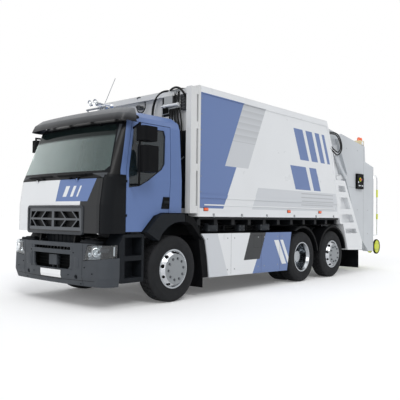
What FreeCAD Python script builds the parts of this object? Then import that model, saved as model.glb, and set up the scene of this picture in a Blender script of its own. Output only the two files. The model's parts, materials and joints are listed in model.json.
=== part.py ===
import FreeCAD, Part
import math
import os

# Rear-loading garbage truck, three axles, cab over the front axle. Millimetres.
# +X forward, +Y to the left, +Z up, origin on the ground under the middle of the overall length.

os.makedirs("parts", exist_ok=True)
Vector = FreeCAD.Vector

# Whole vehicle
overall_length = 9440
front_overhang = 1440
wheelbase = 3900
tag_spacing = 1320
axle_front = overall_length / 2 - front_overhang
axle_drive = axle_front - wheelbase
axle_tag = axle_drive - tag_spacing
rear_end = -overall_length / 2

# Clearances
seat_gap = 0.3
panel_gap = 10
moving_gap = 6
pin_gap = 0.3

# Wheels
tyre_radius = 522
tyre_width = 295
tyre_outer_y = 1220
bead_inset = 24
tread_inset = 36
shoulder_drop = 70
tyre_bead_radius = 297
twin_gap = 45
rim_lip_radius = 300
rim_wall = 14
rim_well_radius = 262
rim_inset = 12
front_disc_y = 1140
rim_disc_thick = 16
hub_radius = 118
dish_y = 1245
dish_radius = 232
hand_hole_count = 10
hand_hole_radius = 27
hand_hole_circle = 222
hand_hole_phase = 12
drive_disc_y = 890
drive_hub_radius = 125
drive_hub_length = 205
axle_z = tyre_radius

# Chassis frame
rail_outer_y = 425
rail_flange = 80
rail_web = 10
rail_bottom = 700
rail_top = 970
rail_front = 1170
rail_rear = 6350
cross_width = 90
cross_height = 70
cross_places = [1090, 560, -420, -1300, -2700, -3350, -4560, -5800, -6290]
underrun_height = 110
underrun_low = 400
underrun_half = 900
underrun_back = 1210
underrun_depth = 90
pivot_x = 1300
pivot_z = 930
pivot_pin = 22
tow_radius = 20
tow_y = 620
tow_hole_radius = 34
tow_depth = 80

# Axles and knuckles
kingpin_y = 930
kingpin_radius = 25
boss_radius = 45
ear_thick = 40
ear_reach = 55
ear_top = 660
ear_low = 384
beam_half_width = 45
beam_low = 430
beam_top = 560
brake_radius = 212
brake_inner_y = 1018
brake_width = 100
spindle_radius = 62
housing_radius = 78
differential_radius = 225
drive_brake_inner_y = 650

# Suspension
spring_y = 385
spring_width = 80
spring_thick = 45
spring_reach = 760
spring_hanger = 60
link_width = 90
link_low = 330
link_top = 415
link_reach = 560
bellows_radius = 118
bellows_y = 440
bellows_offset = 430

# Batteries, motor and boxes
battery_front = -950
battery_rear = -3180
battery_inner_y = 470
battery_outer_y = 1150
battery_low = 380
battery_top = 1010
battery_count = 3
battery_gap = 40
motor_front = -1420
motor_rear = -2560
motor_half = 300
motor_low = 490
shaft_radius = 48
electronics_rear = -150
electronics_front = 200
electronics_half = 425
electronics_top = 1330
cooler_half = 350
cooler_low = 560
cooler_top = 1040

# Cab outline: height, front face at the middle, half width, corner radius, bulge, rear face
cab_rear = -220
cab_half = 1160
cab_corner = 190
cab_bottom = 1090
cab_wall = 80
flap_top = 1880
door_sill = 1112
arch_top = 1400
glass_top = 2725
roof_seam = 2765
roof_top = 2925
cab_levels = [
    (cab_bottom, 1408, cab_half, cab_corner, 42, cab_rear),
    (1500, 1404, cab_half, cab_corner, 42, cab_rear),
    (1900, 1354, cab_half, cab_corner, 48, cab_rear),
    (2740, 1046, 1100, 160, 70, cab_rear),
    (2840, 960, 1072, 150, 72, cab_rear + 12),
    (roof_top, 726, 992, 150, 78, cab_rear + 90),
]
glass_thick = 9
windscreen_low = 1960
windscreen_low_half = 1110
windscreen_top_half = 1005
pillar_flange = 70

# Doors
door_front = 950
door_hinge_x = 940
door_hinge_y = 1150
door_hinge_heights = [1350, 1850]
door_hinge_half = 20
door_eye_radius = 9
door_pin_radius = 4
door_pillar_z = 2000
door_top = 2755
door_top_front = 800
door_rear_top = 5
door_rear_mid = 25
door_rear_low = 78
window_inset_glass = 22

# Front flap and grille
flap_half = 1045
flap_thick = 40
flap_hinge_x = 1356
flap_hinge_z = 1878
flap_hinge_y = 520
flap_knuckle = 26
flap_knuckle_radius = 11
flap_pin = 5
grille_half = 700
grille_low = 1120
grille_top = 1450
grille_frame = 48
slat_height = 30
grille_struts = [(150, 330), (420, 600)]
corner_thick = 30

# Bumper and headlamps
bumper_low = 330
bumper_top = 940
bumper_half = 1205
bumper_corner = 190
bumper_bulge = 52
bumper_wall = 45
bumper_end = 1095
mouth_half = 540
mouth_low = 550
mouth_top = 770
slot_low = 835
slot_top = 880
lamp_inner_low = 770
lamp_inner_top = 850
lamp_low = 690
lamp_top = 962
lamp_depth = 150

# Step wells
step_inner_y = 860
step_outer_y = 1172
step_front = 1085
step_rear = 600
step_bottom = 370
step_top = 1075
tread_heights = [440, 760]
tread_openings = [250, 270]
tread_depth = 210

# Flares and mudguards
flare_outer_y = 1245
flare_inner_y = 1075
guard_inner_y = 900
guard_outer_y = 1235
guard_radius = 612
guard_thick = 18
guard_lip_radius = 650
guard_lip_width = 40
drive_guard_inner_y = 560
guard_end = 620
flap_thickness = 12

# Side skirts
skirt_outer_y = 1228
skirt_thick = 28
skirt_top = 1062
skirt_bottom = 300

# Body
body_half = 1230
wall_thick = 50
body_low = 1345
body_top = 3530
body_front = -540
rail_proud = 12
floor_thick = 45
bearer_height = 100
bearer_width = 90
bearer_count = 11
front_wall_thick = 50
post_width = 120
post_depth = 140
post_rear = -500
roof_thick = 50
roof_rib_count = 9
roof_rib = 40
roof_rib_height = 14
sub_low = rail_top

# Rear frame, parting line and tailgate
gate_hinge_x = -5080
gate_hinge_z = 3480
part_top = (-5060, 3400)
part_low = (-6790, 730)
post_strip = 60
ladder_outer_y = 1230
ladder_inner_y = 1060
frame_plate_y = 1120
gate_inner_y = 1060
gate_plate_y = 1128
gate_outer_y = 1200
gate_gap = 12
gate_hinge_y = 900
gate_pin_radius = 25
gate_eye_radius = 50
gate_rear = -7500
gate_skin_offset = 250

# Hopper, carrier, packer
packer_x = -6500
packer_z = 1720
packer_length = 915
packer_radius = 950
packer_thick = 70
packer_closed_deg = -111.5
trough_thick = 22
sill_z = 1300
carrier_length = 1000
carrier_thick = 80
carrier_half = 1035
packer_half = 1005
carrier_stroke = 760
rail_bar = 45
slide_gap = 8
packer_pin_radius = 32

# Bin lifter and safety rails
lifter_x = -7680
lifter_z = 1250
lifter_beam_x = -7690
lifter_beam_z = 630
lifter_beam_radius = 60
lifter_disc_radius = 200
lifter_disc_y = 1040
lifter_disc_thick = 24
lifter_arm_y = 760
lifter_arm_width = 60
comb_low = 780
comb_top = 1120
comb_half = 900
comb_teeth = 12
rail_tube = 17
safety_y = 1165
safety_front = -7560
safety_back = -7815
safety_low = 905
safety_top = 2470

# Lift cylinders
cylinder_y = 1200
foot_plate_y = 1156
foot_x = -5890
foot_z = 2320
eye_x = -5279
eye_z = 2881
barrel_radius = 38
barrel_bore = 30
rod_radius = 21
barrel_length = 700
gland_length = 45
piston_start = 80
eye_radius = 44
eye_width = 46

# Mirrors
mirror_y_inner = 1262
mirror_y_outer = 1470
mirror_front_round = 70
mirror_back_round = 20


def ahead(distance):
    """X of a place this far ahead of the front axle."""
    return axle_front + distance


def box(x0, x1, y0, y1, z0, z1):
    return Part.makeBox(x1 - x0, y1 - y0, z1 - z0, Vector(x0, y0, z0))


def wire_of(points):
    return Part.makePolygon([Vector(*p) for p in points] + [Vector(*points[0])])


def side_prism(points, y0, y1):
    """Outline in X (from the front axle) and Z, extruded along Y."""
    face = Part.Face(wire_of([(ahead(x), y0, z) for x, z in points]))
    return face.extrude(Vector(0, y1 - y0, 0))


def front_prism(points, x0, x1):
    """Outline in Y and Z, extruded along X between two places from the front axle."""
    face = Part.Face(wire_of([(ahead(x0), y, z) for y, z in points]))
    return face.extrude(Vector(x1 - x0, 0, 0))


def round_bar(start, end, radius):
    a = Vector(*start)
    b = Vector(*end)
    return Part.makeCylinder(radius, (b - a).Length, a, b - a)


def cross_bar(x, z, radius, y0, y1):
    """Round bar along Y at a place from the front axle."""
    return Part.makeCylinder(radius, y1 - y0, Vector(ahead(x), y0, z), Vector(0, 1, 0))


def turned(profile, x):
    """Turn an outline of (radius, y) about the axle line through X."""
    face = Part.Face(wire_of([(x + r, y, axle_z) for r, y in profile]))
    return face.revolve(Vector(x, 0, axle_z), Vector(0, 1, 0), 360)


def mirrored(shape):
    return shape.mirror(Vector(0, 0, 0), Vector(0, 1, 0))


def joined(shapes):
    first = shapes[0]
    if len(shapes) > 1:
        first = first.multiFuse(shapes[1:])
    return first.removeSplitter()


def pair(shape):
    return [shape, mirrored(shape)]


def save(node, shapes):
    solids = []
    for shape in shapes:
        solids += shape.Solids
    for solid in solids:
        if not solid.isValid():
            print("not valid", node)
    Part.makeCompound(solids).exportStep("parts/" + node + ".step")
    print(node, len(solids), "solids", round(sum(s.Volume for s in solids) / 1e9, 4), "m3")


def plan_section(z, front, half, radius, bulge, rear):
    """Closed outline of a cab or bumper at one height."""
    side = ahead(front - bulge)
    middle = side - radius
    bend = radius * math.sqrt(0.5)
    left = [
        Vector(middle, half, z),
        Vector(middle + bend, half - radius + bend, z),
        Vector(side, half - radius, z),
    ]
    right = [Vector(p.x, -p.y, z) for p in left]
    edges = [
        Part.LineSegment(Vector(ahead(rear), half, z), left[0]).toShape(),
        Part.Arc(left[0], left[1], left[2]).toShape(),
        Part.Arc(left[2], Vector(ahead(front), 0, z), right[2]).toShape(),
        Part.Arc(right[2], right[1], right[0]).toShape(),
        Part.LineSegment(right[0], Vector(ahead(rear), -half, z)).toShape(),
        Part.LineSegment(Vector(ahead(rear), -half, z), Vector(ahead(rear), half, z)).toShape(),
    ]
    return Part.Wire(edges)


def layered(levels, inset, lift_low, lift_top):
    """Solid through the sections, set in from the outside by one distance."""
    wires = []
    last = len(levels) - 1
    for index, (z, front, half, radius, bulge, rear) in enumerate(levels):
        if index == 0:
            z += lift_low
        if index == last:
            z -= lift_top
        wires.append(plan_section(z, front - inset, half - inset, radius - inset * 0.5, bulge, rear + inset))
    return Part.makeLoft(wires, True, True)


def arch_space(lift):
    """Room under the cab for the front wheels."""
    points = [
        (cab_rear - 200, 900),
        (door_front + 8 + lift, 900),
        (door_front + 8 + lift, door_sill + lift),
        (640 + lift * 0.4, door_sill + lift),
        (400 + lift * 0.4, 1350 + lift),
        (236, arch_top + lift),
        (cab_rear - 200, arch_top + lift),
    ]
    return side_prism(points, -cab_half - 200, cab_half + 200)


def cab_solid(inset):
    """The cab's outside, or the same set in by a distance, with the arch taken out."""
    solid = layered(cab_levels, inset, inset, inset)
    return solid.cut(arch_space(inset))


def door_outline(grow):
    return [
        (door_front + grow, 900),
        (door_front + grow, door_pillar_z + grow * 0.3),
        (door_top_front + grow, door_top + grow),
        (door_rear_top - grow, door_top + grow),
        (door_rear_mid - grow, 2150),
        (door_rear_low - grow, arch_top),
        (door_rear_low - grow, 900),
    ]


def window_outline(inset):
    return [
        (door_front - 45 - inset, 1760 + inset),
        (door_front - 45 - inset, 1990),
        (door_front - 175 - inset, 2672 - inset),
        (140 + inset, 2690 - inset),
        (112 + inset, 2600),
        (150 + inset, 2160),
        (215 + inset, 2070 + inset),
        (520, 1876 + inset),
        (700, 1788 + inset),
    ]


def windscreen_outline(inset):
    return [
        (windscreen_low_half - inset, windscreen_low + inset),
        (windscreen_top_half - inset, glass_top - inset),
        (-windscreen_top_half + inset, glass_top - inset),
        (-windscreen_low_half + inset, windscreen_low + inset),
    ]


cab_outer = cab_solid(0)
cab_inner = cab_solid(cab_wall)
far = 400


def left_skin(thick):
    inward = cab_outer.copy()
    inward.translate(Vector(0, -thick, 0))
    half = box(ahead(cab_rear - far), ahead(door_front + far), 600, cab_half + far, 0, 4000)
    return cab_outer.common(half).cut(inward)


def make_doors():
    door = left_skin(cab_wall).common(side_prism(door_outline(0), 600, cab_half + far))
    door = door.cut(side_prism(window_outline(0), 600, cab_half + far))
    for z in door_hinge_heights:
        low = z - door_hinge_half
        top = z + door_hinge_half
        notch = box(ahead(door_hinge_x - 14), ahead(door_front + 10), door_hinge_y - 12, cab_half + 10, low, top)
        door = joined([door.cut(notch), door_hinge_bar(z, door_pin_radius, door_hinge_half + 15)])
    pane_band = left_skin(window_inset_glass + glass_thick).cut(left_skin(window_inset_glass))
    pane = pane_band.common(side_prism(window_outline(0), 600, cab_half + far))
    save("door_left", [door])
    save("door_right", [mirrored(door)])
    save("door_glass_left", [pane])
    save("door_glass_right", [mirrored(pane)])


def flap_space(grow, depth):
    outline = [
        (flap_half + grow, cab_bottom - far),
        (flap_half + grow, flap_top + grow),
        (-flap_half - grow, flap_top + grow),
        (-flap_half - grow, cab_bottom - far),
    ]
    region = front_prism(outline, 980, 1400 + far)
    return region.cut(layered(cab_levels, depth, -far, 0))


def door_hinge_bar(z, radius, half):
    return Part.makeCylinder(radius, 2 * half, Vector(ahead(door_hinge_x), door_hinge_y, z - half), Vector(0, 0, 1))


def door_hinge_lug(z):
    """Lug of the corner panel that stands in the door's notch."""
    half = door_hinge_half - 3
    reach = door_eye_radius - 2
    arm = box(ahead(door_hinge_x), ahead(door_front + panel_gap + 20), door_hinge_y - reach, door_hinge_y + reach, z - half, z + half)
    return joined([arm, door_hinge_bar(z, door_eye_radius, half)]).cut(door_hinge_bar(z, door_pin_radius + pin_gap, far))


def corner_space(grow, depth):
    outline = [
        (flap_half + panel_gap - grow, cab_bottom - far),
        (flap_half + panel_gap - grow, 1930),
        (cab_half + far, 1990),
        (cab_half + far, cab_bottom - far),
    ]
    region = front_prism(outline, door_front + panel_gap - grow, 1400 + far)
    return region.cut(layered(cab_levels, depth, -far, 0))


def flap_eye_room(y, half):
    return cross_bar(flap_hinge_x, flap_hinge_z, flap_knuckle_radius + 2, y - half, y + half)


def make_cab():
    shell = cab_outer.cut(cab_inner)
    door_cut = left_skin(cab_wall + moving_gap).common(
        side_prism(door_outline(panel_gap), 600, cab_half + far)
    )
    roof_box = box(ahead(cab_rear - far), ahead(1400 + far), -cab_half - far, cab_half + far, roof_seam, 4000)
    screen_cut = front_prism(windscreen_outline(0), 700, 1400 + far)
    ahead_of_pillar = [
        (door_front + pillar_flange, windscreen_low - 60),
        (door_front + pillar_flange, door_pillar_z),
        (door_top_front + pillar_flange, door_top),
        (1400 + far, door_top),
        (1400 + far, windscreen_low - 60),
    ]
    screen_cut = screen_cut.common(side_prism(ahead_of_pillar, -cab_half, cab_half))
    roof = shell.common(roof_box)
    shell = shell.cut(roof_box)
    shell = shell.cut(door_cut).cut(mirrored(door_cut))
    shell = shell.cut(screen_cut)
    shell = shell.cut(flap_space(panel_gap, flap_thick + moving_gap + 2))
    for space in pair(corner_space(seat_gap, corner_thick + seat_gap)):
        shell = shell.cut(space)
    lugs = []
    for side in (1, -1):
        lug = side_prism(
            [
                (pivot_x - 85, cab_bottom + 10),
                (pivot_x - 38, pivot_z - 5),
                (pivot_x, pivot_z - 42),
                (pivot_x + 35, pivot_z + 20),
                (pivot_x + 12, cab_bottom + 10),
            ],
            side * 447 - 16,
            side * 447 + 16,
        )
        lug = lug.fuse(cross_bar(pivot_x, pivot_z, 42, side * 447 - 16, side * 447 + 16))
        lugs.append(lug.cut(cross_bar(pivot_x, pivot_z, pivot_pin + pin_gap, -600, 600)))
        for offset in (-flap_knuckle, flap_knuckle):
            y = side * flap_hinge_y + offset
            lugs.append(cross_bar(flap_hinge_x, flap_hinge_z, flap_knuckle_radius, y - 7, y + 7))
            lugs.append(box(ahead(flap_hinge_x - 32), ahead(flap_hinge_x + 4), y - 7, y + 7, flap_hinge_z + 8, flap_hinge_z + 34))
        lugs.append(cross_bar(flap_hinge_x, flap_hinge_z, flap_pin, side * flap_hinge_y - 20, side * flap_hinge_y + 20))
        shell = shell.cut(flap_eye_room(side * flap_hinge_y, flap_knuckle - 8.5))
    shell = joined([shell] + lugs)
    save("cab_shell", [shell])
    save("cab_roof", [roof])
    glass = cab_outer.cut(cab_solid(glass_thick)).common(screen_cut)
    save("windscreen", [glass])
    panel = cab_outer.common(corner_space(0, corner_thick))
    lugs = [door_hinge_lug(z) for z in door_hinge_heights]
    save("corner_panels", pair(joined([panel] + lugs)))


def make_flap():
    flap = cab_outer.common(flap_space(0, flap_thick))
    opening = front_prism(
        [
            (grille_half, grille_low),
            (grille_half - 30, grille_top),
            (-grille_half + 30, grille_top),
            (-grille_half, grille_low),
        ],
        980,
        1400 + far,
    )
    grille_block = flap.common(opening)
    flap = flap.cut(opening)
    for side in (1, -1):
        y = side * flap_hinge_y
        for offset in (-flap_knuckle, flap_knuckle):
            flap = flap.cut(flap_eye_room(y + offset, 8.5))
        half = flap_knuckle - 9
        eye = cross_bar(flap_hinge_x, flap_hinge_z, flap_knuckle_radius, y - half, y + half)
        tongue = box(ahead(flap_hinge_x - 30), ahead(flap_hinge_x + 4), y - half, y + half, flap_hinge_z - 34, flap_hinge_z)
        flap = joined([flap, eye, tongue])
        flap = flap.cut(cross_bar(flap_hinge_x, flap_hinge_z, flap_pin + pin_gap, y - 60, y + 60))
    save("front_flap", [flap])
    hollow = front_prism(
        [
            (grille_half - grille_frame, grille_low + grille_frame),
            (grille_half - 30 - grille_frame, grille_top - grille_frame),
            (-grille_half + 30 + grille_frame, grille_top - grille_frame),
            (-grille_half + grille_frame, grille_low + grille_frame),
        ],
        980,
        1400 + far,
    )
    pieces = [grille_block.cut(hollow)]
    middle = (grille_low + grille_top) / 2
    reach = slat_height / 2
    bar = box(ahead(980), ahead(1400 + far), -grille_half, grille_half, middle - reach, middle + reach)
    upright = box(ahead(980), ahead(1400 + far), -slat_height, slat_height, grille_low, grille_top)
    pieces += [grille_block.common(bar), grille_block.common(upright)]
    for near, wide in grille_struts:
        for side in (1, -1):
            for edge in (grille_low, grille_top):
                strut = front_prism(
                    [
                        (side * (near - slat_height / 2), edge),
                        (side * (near + slat_height / 2), edge),
                        (side * (wide + slat_height / 2), middle),
                        (side * (wide - slat_height / 2), middle),
                    ],
                    980,
                    1400 + far,
                )
                pieces.append(grille_block.common(strut))
    save("front_grille", [joined(pieces)])


def make_visor():
    levels = [
        (2742, 1196, 1190, 150, 66, 700),
        (2850, 1146, 1180, 150, 66, 700),
        (2945, 1026, 1140, 150, 66, 700),
    ]
    inner = [(z, front - 14, half - 14, radius - 7, bulge, rear - 60) for z, front, half, radius, bulge, rear in levels]
    inner = [(inner[0][0] - 1,) + inner[0][1:], inner[1], (inner[2][0] + 1,) + inner[2][1:]]
    shade = layered(levels, 0, 0, 0).cut(layered(inner, 0, 0, 0))
    shade = shade.common(box(ahead(800), ahead(1300), -1200, 1200, 2000, 3200))
    pieces = [shade]
    for y in (-820, -280, 280, 820):
        bar = box(ahead(860), ahead(1185), y - 15, y + 15, 2850, 2905)
        solid_shade = layered(levels, 7, 0, 0)
        pieces.append(bar.common(solid_shade).cut(cab_outer))
    save("sun_visor", [joined(pieces)])


def flare_outline():
    return [
        (356, 968),
        (280, 1085),
        (166, 1180),
        (20, 1245),
        (-150, 1265),
        (-290, 1250),
        (-389, 1208),
        (-641, 957),
        (-560, 1150),
        (-480, 1270),
        (-411, 1338),
        (-171, 1385),
        (236, 1388),
        (364, 1345),
        (609, 1108),
    ]


def flare_part(x0, x1):
    flare = side_prism(flare_outline(), flare_inner_y, flare_outer_y)
    return flare.common(box(ahead(x0), ahead(x1), 0, 2000, 0, 2000))


def make_flares():
    flare = flare_part(cab_rear, 1400)
    seat = side_prism([(-200, 1290), (-200, arch_top), (236, arch_top), (300, 1330), (200, 1290)], 960, flare_inner_y)
    save("arch_flares", pair(joined([flare, seat])))


def make_interior():
    room = cab_solid(cab_wall + seat_gap)
    dash = side_prism(
        [(1300, 1640), (1300, 1985), (1010, 1960), (930, 1900), (900, 1780), (960, 1660)],
        -1060,
        1060,
    ).common(room)
    column = round_bar((ahead(960), 520, 1800), (ahead(762), 520, 2003), 32)
    tilt = Vector(-1, 0, 1.1)
    low_face = Vector(ahead(780), 520, 1984)
    wheel = Part.makeCylinder(230, 30, low_face, tilt).cut(Part.makeCylinder(200, 30, low_face, tilt))
    spoke = round_bar((ahead(770), 310, 1995), (ahead(770), 730, 1995), 14)
    save("dashboard", [joined([dash, column, wheel, spoke])])
    seats = []
    for y, half in ((520, 255), (-480, 480)):
        base = box(ahead(40), ahead(420), y - half + 60, y + half - 60, arch_top + cab_wall + seat_gap, 1725)
        cushion = side_prism([(-10, 1700), (480, 1715), (500, 1760), (470, 1830), (0, 1800)], y - half, y + half)
        back = side_prism([(0, 1780), (-30, 2400), (-110, 2390), (-90, 1760), (-10, 1700)], y - half, y + half)
        head = box(ahead(-105), ahead(-25), y - 130, y + 130, 2385, 2560)
        seats.append(joined([base, cushion, back, head]).common(room))
    save("seats", seats)


def make_mirrors():
    big = box(ahead(600), ahead(880), mirror_y_inner, mirror_y_outer, 1985, 2370)
    small = box(ahead(630), ahead(905), mirror_y_inner, mirror_y_outer, 2440, 2650)
    heads = []
    for head in (big, small):
        upright = [e for e in head.Edges if e.BoundBox.ZLength > 100]
        front = [e for e in upright if e.BoundBox.XMin > head.BoundBox.Center.x]
        head = head.makeFillet(mirror_front_round, front)
        back = [e for e in head.Edges if e.BoundBox.ZLength > 100 and e.BoundBox.XMax < head.BoundBox.XMin + 1]
        heads.append(head.makeFillet(mirror_back_round, back))
    arm = joined(
        [
            round_bar((ahead(880), 1350, 1790), (ahead(880), 1350, 2700), 16),
            round_bar((ahead(880), 1110, 1800), (ahead(880), 1358, 1800), 16),
            round_bar((ahead(765), 1060, 2650), (ahead(880), 1358, 2690), 16),
        ]
    )
    heads[0] = joined([heads[0], heads[1], arm])
    door_solid = left_skin(cab_wall).common(side_prism(door_outline(0), 600, cab_half + far))
    mirror = heads[0].cut(door_solid)
    keep = [s for s in mirror.Solids if s.BoundBox.YMax > mirror_y_inner]
    save("mirrors_left", keep)
    save("mirrors_right", [mirrored(s) for s in keep])


def tyre_at(x, outer_y):
    """One tyre, its outer side wall at outer_y on the left."""
    inner_y = outer_y - tyre_width
    profile = [
        (tyre_bead_radius, inner_y + bead_inset),
        (tyre_radius - shoulder_drop, inner_y),
        (tyre_radius, inner_y + tread_inset),
        (tyre_radius, outer_y - tread_inset),
        (tyre_radius - shoulder_drop, outer_y),
        (tyre_bead_radius, outer_y - bead_inset),
    ]
    return turned(profile, x)


def rim_barrel(x, outer_y):
    inner_y = outer_y - tyre_width
    outer = [
        (tyre_bead_radius - seat_gap, inner_y + 24),
        (rim_lip_radius + 8, inner_y + rim_inset),
        (rim_lip_radius + 8, inner_y + rim_inset - 6),
        (rim_lip_radius - 14, inner_y + rim_inset - 6),
        (rim_well_radius, inner_y + 60),
        (rim_well_radius, outer_y - 60),
        (rim_lip_radius - 14, outer_y - rim_inset + 6),
        (rim_lip_radius + 8, outer_y - rim_inset + 6),
        (rim_lip_radius + 8, outer_y - rim_inset),
        (tyre_bead_radius - seat_gap, outer_y - 24),
        (rim_well_radius + rim_wall, outer_y - 70),
        (rim_well_radius + rim_wall, inner_y + 70),
    ]
    return turned(outer, x)


def hand_holes(start_radius, start_y, along_radius, along_y, x, radius):
    """Round bars through a wheel disc where its hand holes are."""
    bars = []
    for index in range(hand_hole_count):
        angle = math.radians(hand_hole_phase) + math.tau * index / hand_hole_count
        outward = Vector(math.cos(angle), 0, math.sin(angle))
        start = Vector(x, start_y, axle_z) + outward * start_radius
        direction = outward * along_radius + Vector(0, along_y, 0)
        bars.append(Part.makeCylinder(radius, 100, start, direction))
    return bars


def dished_disc(x):
    """Disc of a front or tag wheel: it stands out past the tyre."""
    well = rim_well_radius + rim_wall / 2
    profile = [
        (0, front_disc_y),
        (hub_radius, front_disc_y),
        (hub_radius, dish_y - rim_disc_thick),
        (dish_radius - 12, dish_y - rim_disc_thick),
        (well - 22, front_disc_y + 10),
        (well, front_disc_y - 6),
        (well, front_disc_y + 14),
        (well - 8, front_disc_y + 30),
        (dish_radius + 6, dish_y - 8),
        (dish_radius, dish_y),
        (0, dish_y),
    ]
    disc = turned(profile, x)
    middle_y = (front_disc_y + 30 + dish_y - 8) / 2
    for bar in hand_holes(205, middle_y - 14, 0.946, 0.325, x, hand_hole_radius):
        disc = disc.cut(bar)
    return disc


def make_wheels():
    for name, x in (("front", axle_front), ("tag", axle_tag)):
        tyre = tyre_at(x, tyre_outer_y)
        rim = joined([rim_barrel(x, tyre_outer_y), dished_disc(x)])
        save(name + "_tyre_left", [tyre])
        save(name + "_rim_left", [rim])
        save(name + "_tyre_right", [mirrored(tyre)])
        save(name + "_rim_right", [mirrored(rim)])
    outer = tyre_at(axle_drive, tyre_outer_y)
    inner_edge = tyre_outer_y - tyre_width - twin_gap
    inner = tyre_at(axle_drive, inner_edge)
    well = rim_well_radius + rim_wall / 2
    profile = [
        (0, drive_disc_y),
        (well, drive_disc_y),
        (well, drive_disc_y + rim_disc_thick),
        (drive_hub_radius, drive_disc_y + rim_disc_thick),
        (drive_hub_radius - 12, drive_disc_y + drive_hub_length),
        (0, drive_disc_y + drive_hub_length),
    ]
    disc = turned(profile, axle_drive)
    for bar in hand_holes(hand_hole_circle, drive_disc_y - 10, 0, 1, axle_drive, hand_hole_radius):
        disc = disc.cut(bar)
    band = turned(
        [
            (rim_well_radius, inner_edge - 60),
            (rim_well_radius, tyre_outer_y - tyre_width + 60),
            (rim_well_radius + rim_wall, tyre_outer_y - tyre_width + 60),
            (rim_well_radius + rim_wall, inner_edge - 60),
        ],
        axle_drive,
    )
    rim = joined([rim_barrel(axle_drive, tyre_outer_y), rim_barrel(axle_drive, inner_edge), disc, band])
    save("drive_tyres_left", [inner, outer])
    save("drive_tyres_right", [mirrored(inner), mirrored(outer)])
    save("drive_rims_left", [rim])
    save("drive_rims_right", [mirrored(rim)])


def channel(x0, x1, y_outer, side):
    """Frame rail with its flanges towards the middle."""
    inner = y_outer - rail_flange
    web = box(ahead(x0), ahead(x1), y_outer - rail_web, y_outer, rail_bottom, rail_top)
    top = box(ahead(x0), ahead(x1), inner, y_outer, rail_top - rail_web, rail_top)
    low = box(ahead(x0), ahead(x1), inner, y_outer, rail_bottom, rail_bottom + rail_web)
    rail = joined([web, top, low])
    return rail if side > 0 else mirrored(rail)


def make_frame():
    solids = []
    reach = rail_outer_y - rail_web - seat_gap
    top = rail_top - rail_web - seat_gap
    for x in cross_places:
        low = rail_top - rail_web - cross_height
        solids.append(box(ahead(x - cross_width / 2), ahead(x + cross_width / 2), -reach, reach, low, top))
    beam = box(
        ahead(underrun_back),
        ahead(underrun_back + underrun_depth),
        -underrun_half,
        underrun_half,
        underrun_low,
        underrun_low + underrun_height,
    )
    room = box(
        ahead(underrun_back) - seat_gap,
        ahead(underrun_back + underrun_depth) + seat_gap,
        -underrun_half,
        underrun_half,
        underrun_low - seat_gap,
        underrun_low + underrun_height + seat_gap,
    )
    for side in (1, -1):
        pieces = [channel(-rail_rear, rail_front, rail_outer_y, side)]
        y = side * (rail_outer_y - rail_flange / 2)
        hanger = side_prism(
            [
                (rail_front - 200, rail_bottom + rail_web / 2),
                (rail_front, rail_bottom + rail_web / 2),
                (underrun_back + underrun_depth / 2, underrun_low + 40),
                (underrun_back + underrun_depth / 2 - 60, underrun_low + 10),
                (rail_front - 120, rail_bottom - 120),
            ],
            y - 30,
            y + 30,
        )
        pieces.append(hanger)
        low_y = side * (rail_outer_y - 20) - 20
        bracket = side_prism(
            [
                (rail_front - 60, 760),
                (pivot_x - 10, pivot_z - 45),
                (pivot_x + 30, pivot_z - 25),
                (pivot_x + 40, pivot_z + 10),
                (pivot_x, pivot_z + 42),
                (rail_front - 60, rail_top - rail_web / 2),
            ],
            low_y,
            low_y + 40,
        )
        pieces.append(bracket)
        pieces.append(cross_bar(pivot_x, pivot_z, pivot_pin, side * 429 - 41, side * 429 + 41))
        rest_y = side * (rail_outer_y - rail_flange / 2) - rail_flange / 2
        rest = box(ahead(-212), ahead(-162), rest_y, rest_y + rail_flange, rail_top - rail_web / 2, arch_top - seat_gap)
        pieces.append(rest)
        solids.append(joined(pieces).cut(room))
    for y in (tow_y, -tow_y):
        place = Vector(ahead(underrun_back + underrun_depth - tow_depth), y, underrun_low + underrun_height / 2)
        beam = beam.cut(Part.makeCylinder(tow_radius, tow_depth, place, Vector(1, 0, 0)))
    save("chassis_frame", solids + [beam])


def make_axles():
    beams = []
    for x in (axle_front, axle_tag):
        bar = box(x - beam_half_width, x + beam_half_width, -kingpin_y, kingpin_y, beam_low, beam_top)
        waist = box(x - beam_half_width - 5, x - beam_half_width + 20, -kingpin_y + 120, kingpin_y - 120, beam_low + 25, beam_top - 25)
        other = waist.copy()
        other.translate(Vector(2 * beam_half_width - 15, 0, 0))
        pieces = [bar.cut(waist).cut(other)]
        for side in (1, -1):
            centre = Vector(x, side * kingpin_y, ear_low + ear_thick + 2)
            height = ear_top - ear_low - 2 * ear_thick - 4
            pieces.append(Part.makeCylinder(boss_radius, height, centre, Vector(0, 0, 1)))
            pin = Vector(x, side * kingpin_y, ear_low)
            pieces.append(Part.makeCylinder(kingpin_radius, ear_top - ear_low, pin, Vector(0, 0, 1)))
        beams.append(joined(pieces))
    pieces = [Part.makeCylinder(housing_radius, 2 * (drive_disc_y - seat_gap), Vector(axle_drive, -drive_disc_y + seat_gap, axle_z), Vector(0, 1, 0))]
    bowl = Part.makeSphere(differential_radius)
    bowl.rotate(Vector(0, 0, 0), Vector(1, 0, 0), 90)
    bowl.translate(Vector(axle_drive, 0, axle_z))
    pieces.append(bowl)
    nose = Part.makeCone(150, 80, 330, Vector(axle_drive + 60, 0, axle_z), Vector(1, 0, 0))
    pieces.append(nose)
    for side in (1, -1):
        start = Vector(axle_drive, side * drive_brake_inner_y, axle_z)
        length = drive_disc_y - seat_gap - drive_brake_inner_y
        pieces.append(Part.makeCylinder(brake_radius, length, start, Vector(0, side, 0)))
    save("axles", beams + [joined(pieces)])


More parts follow.
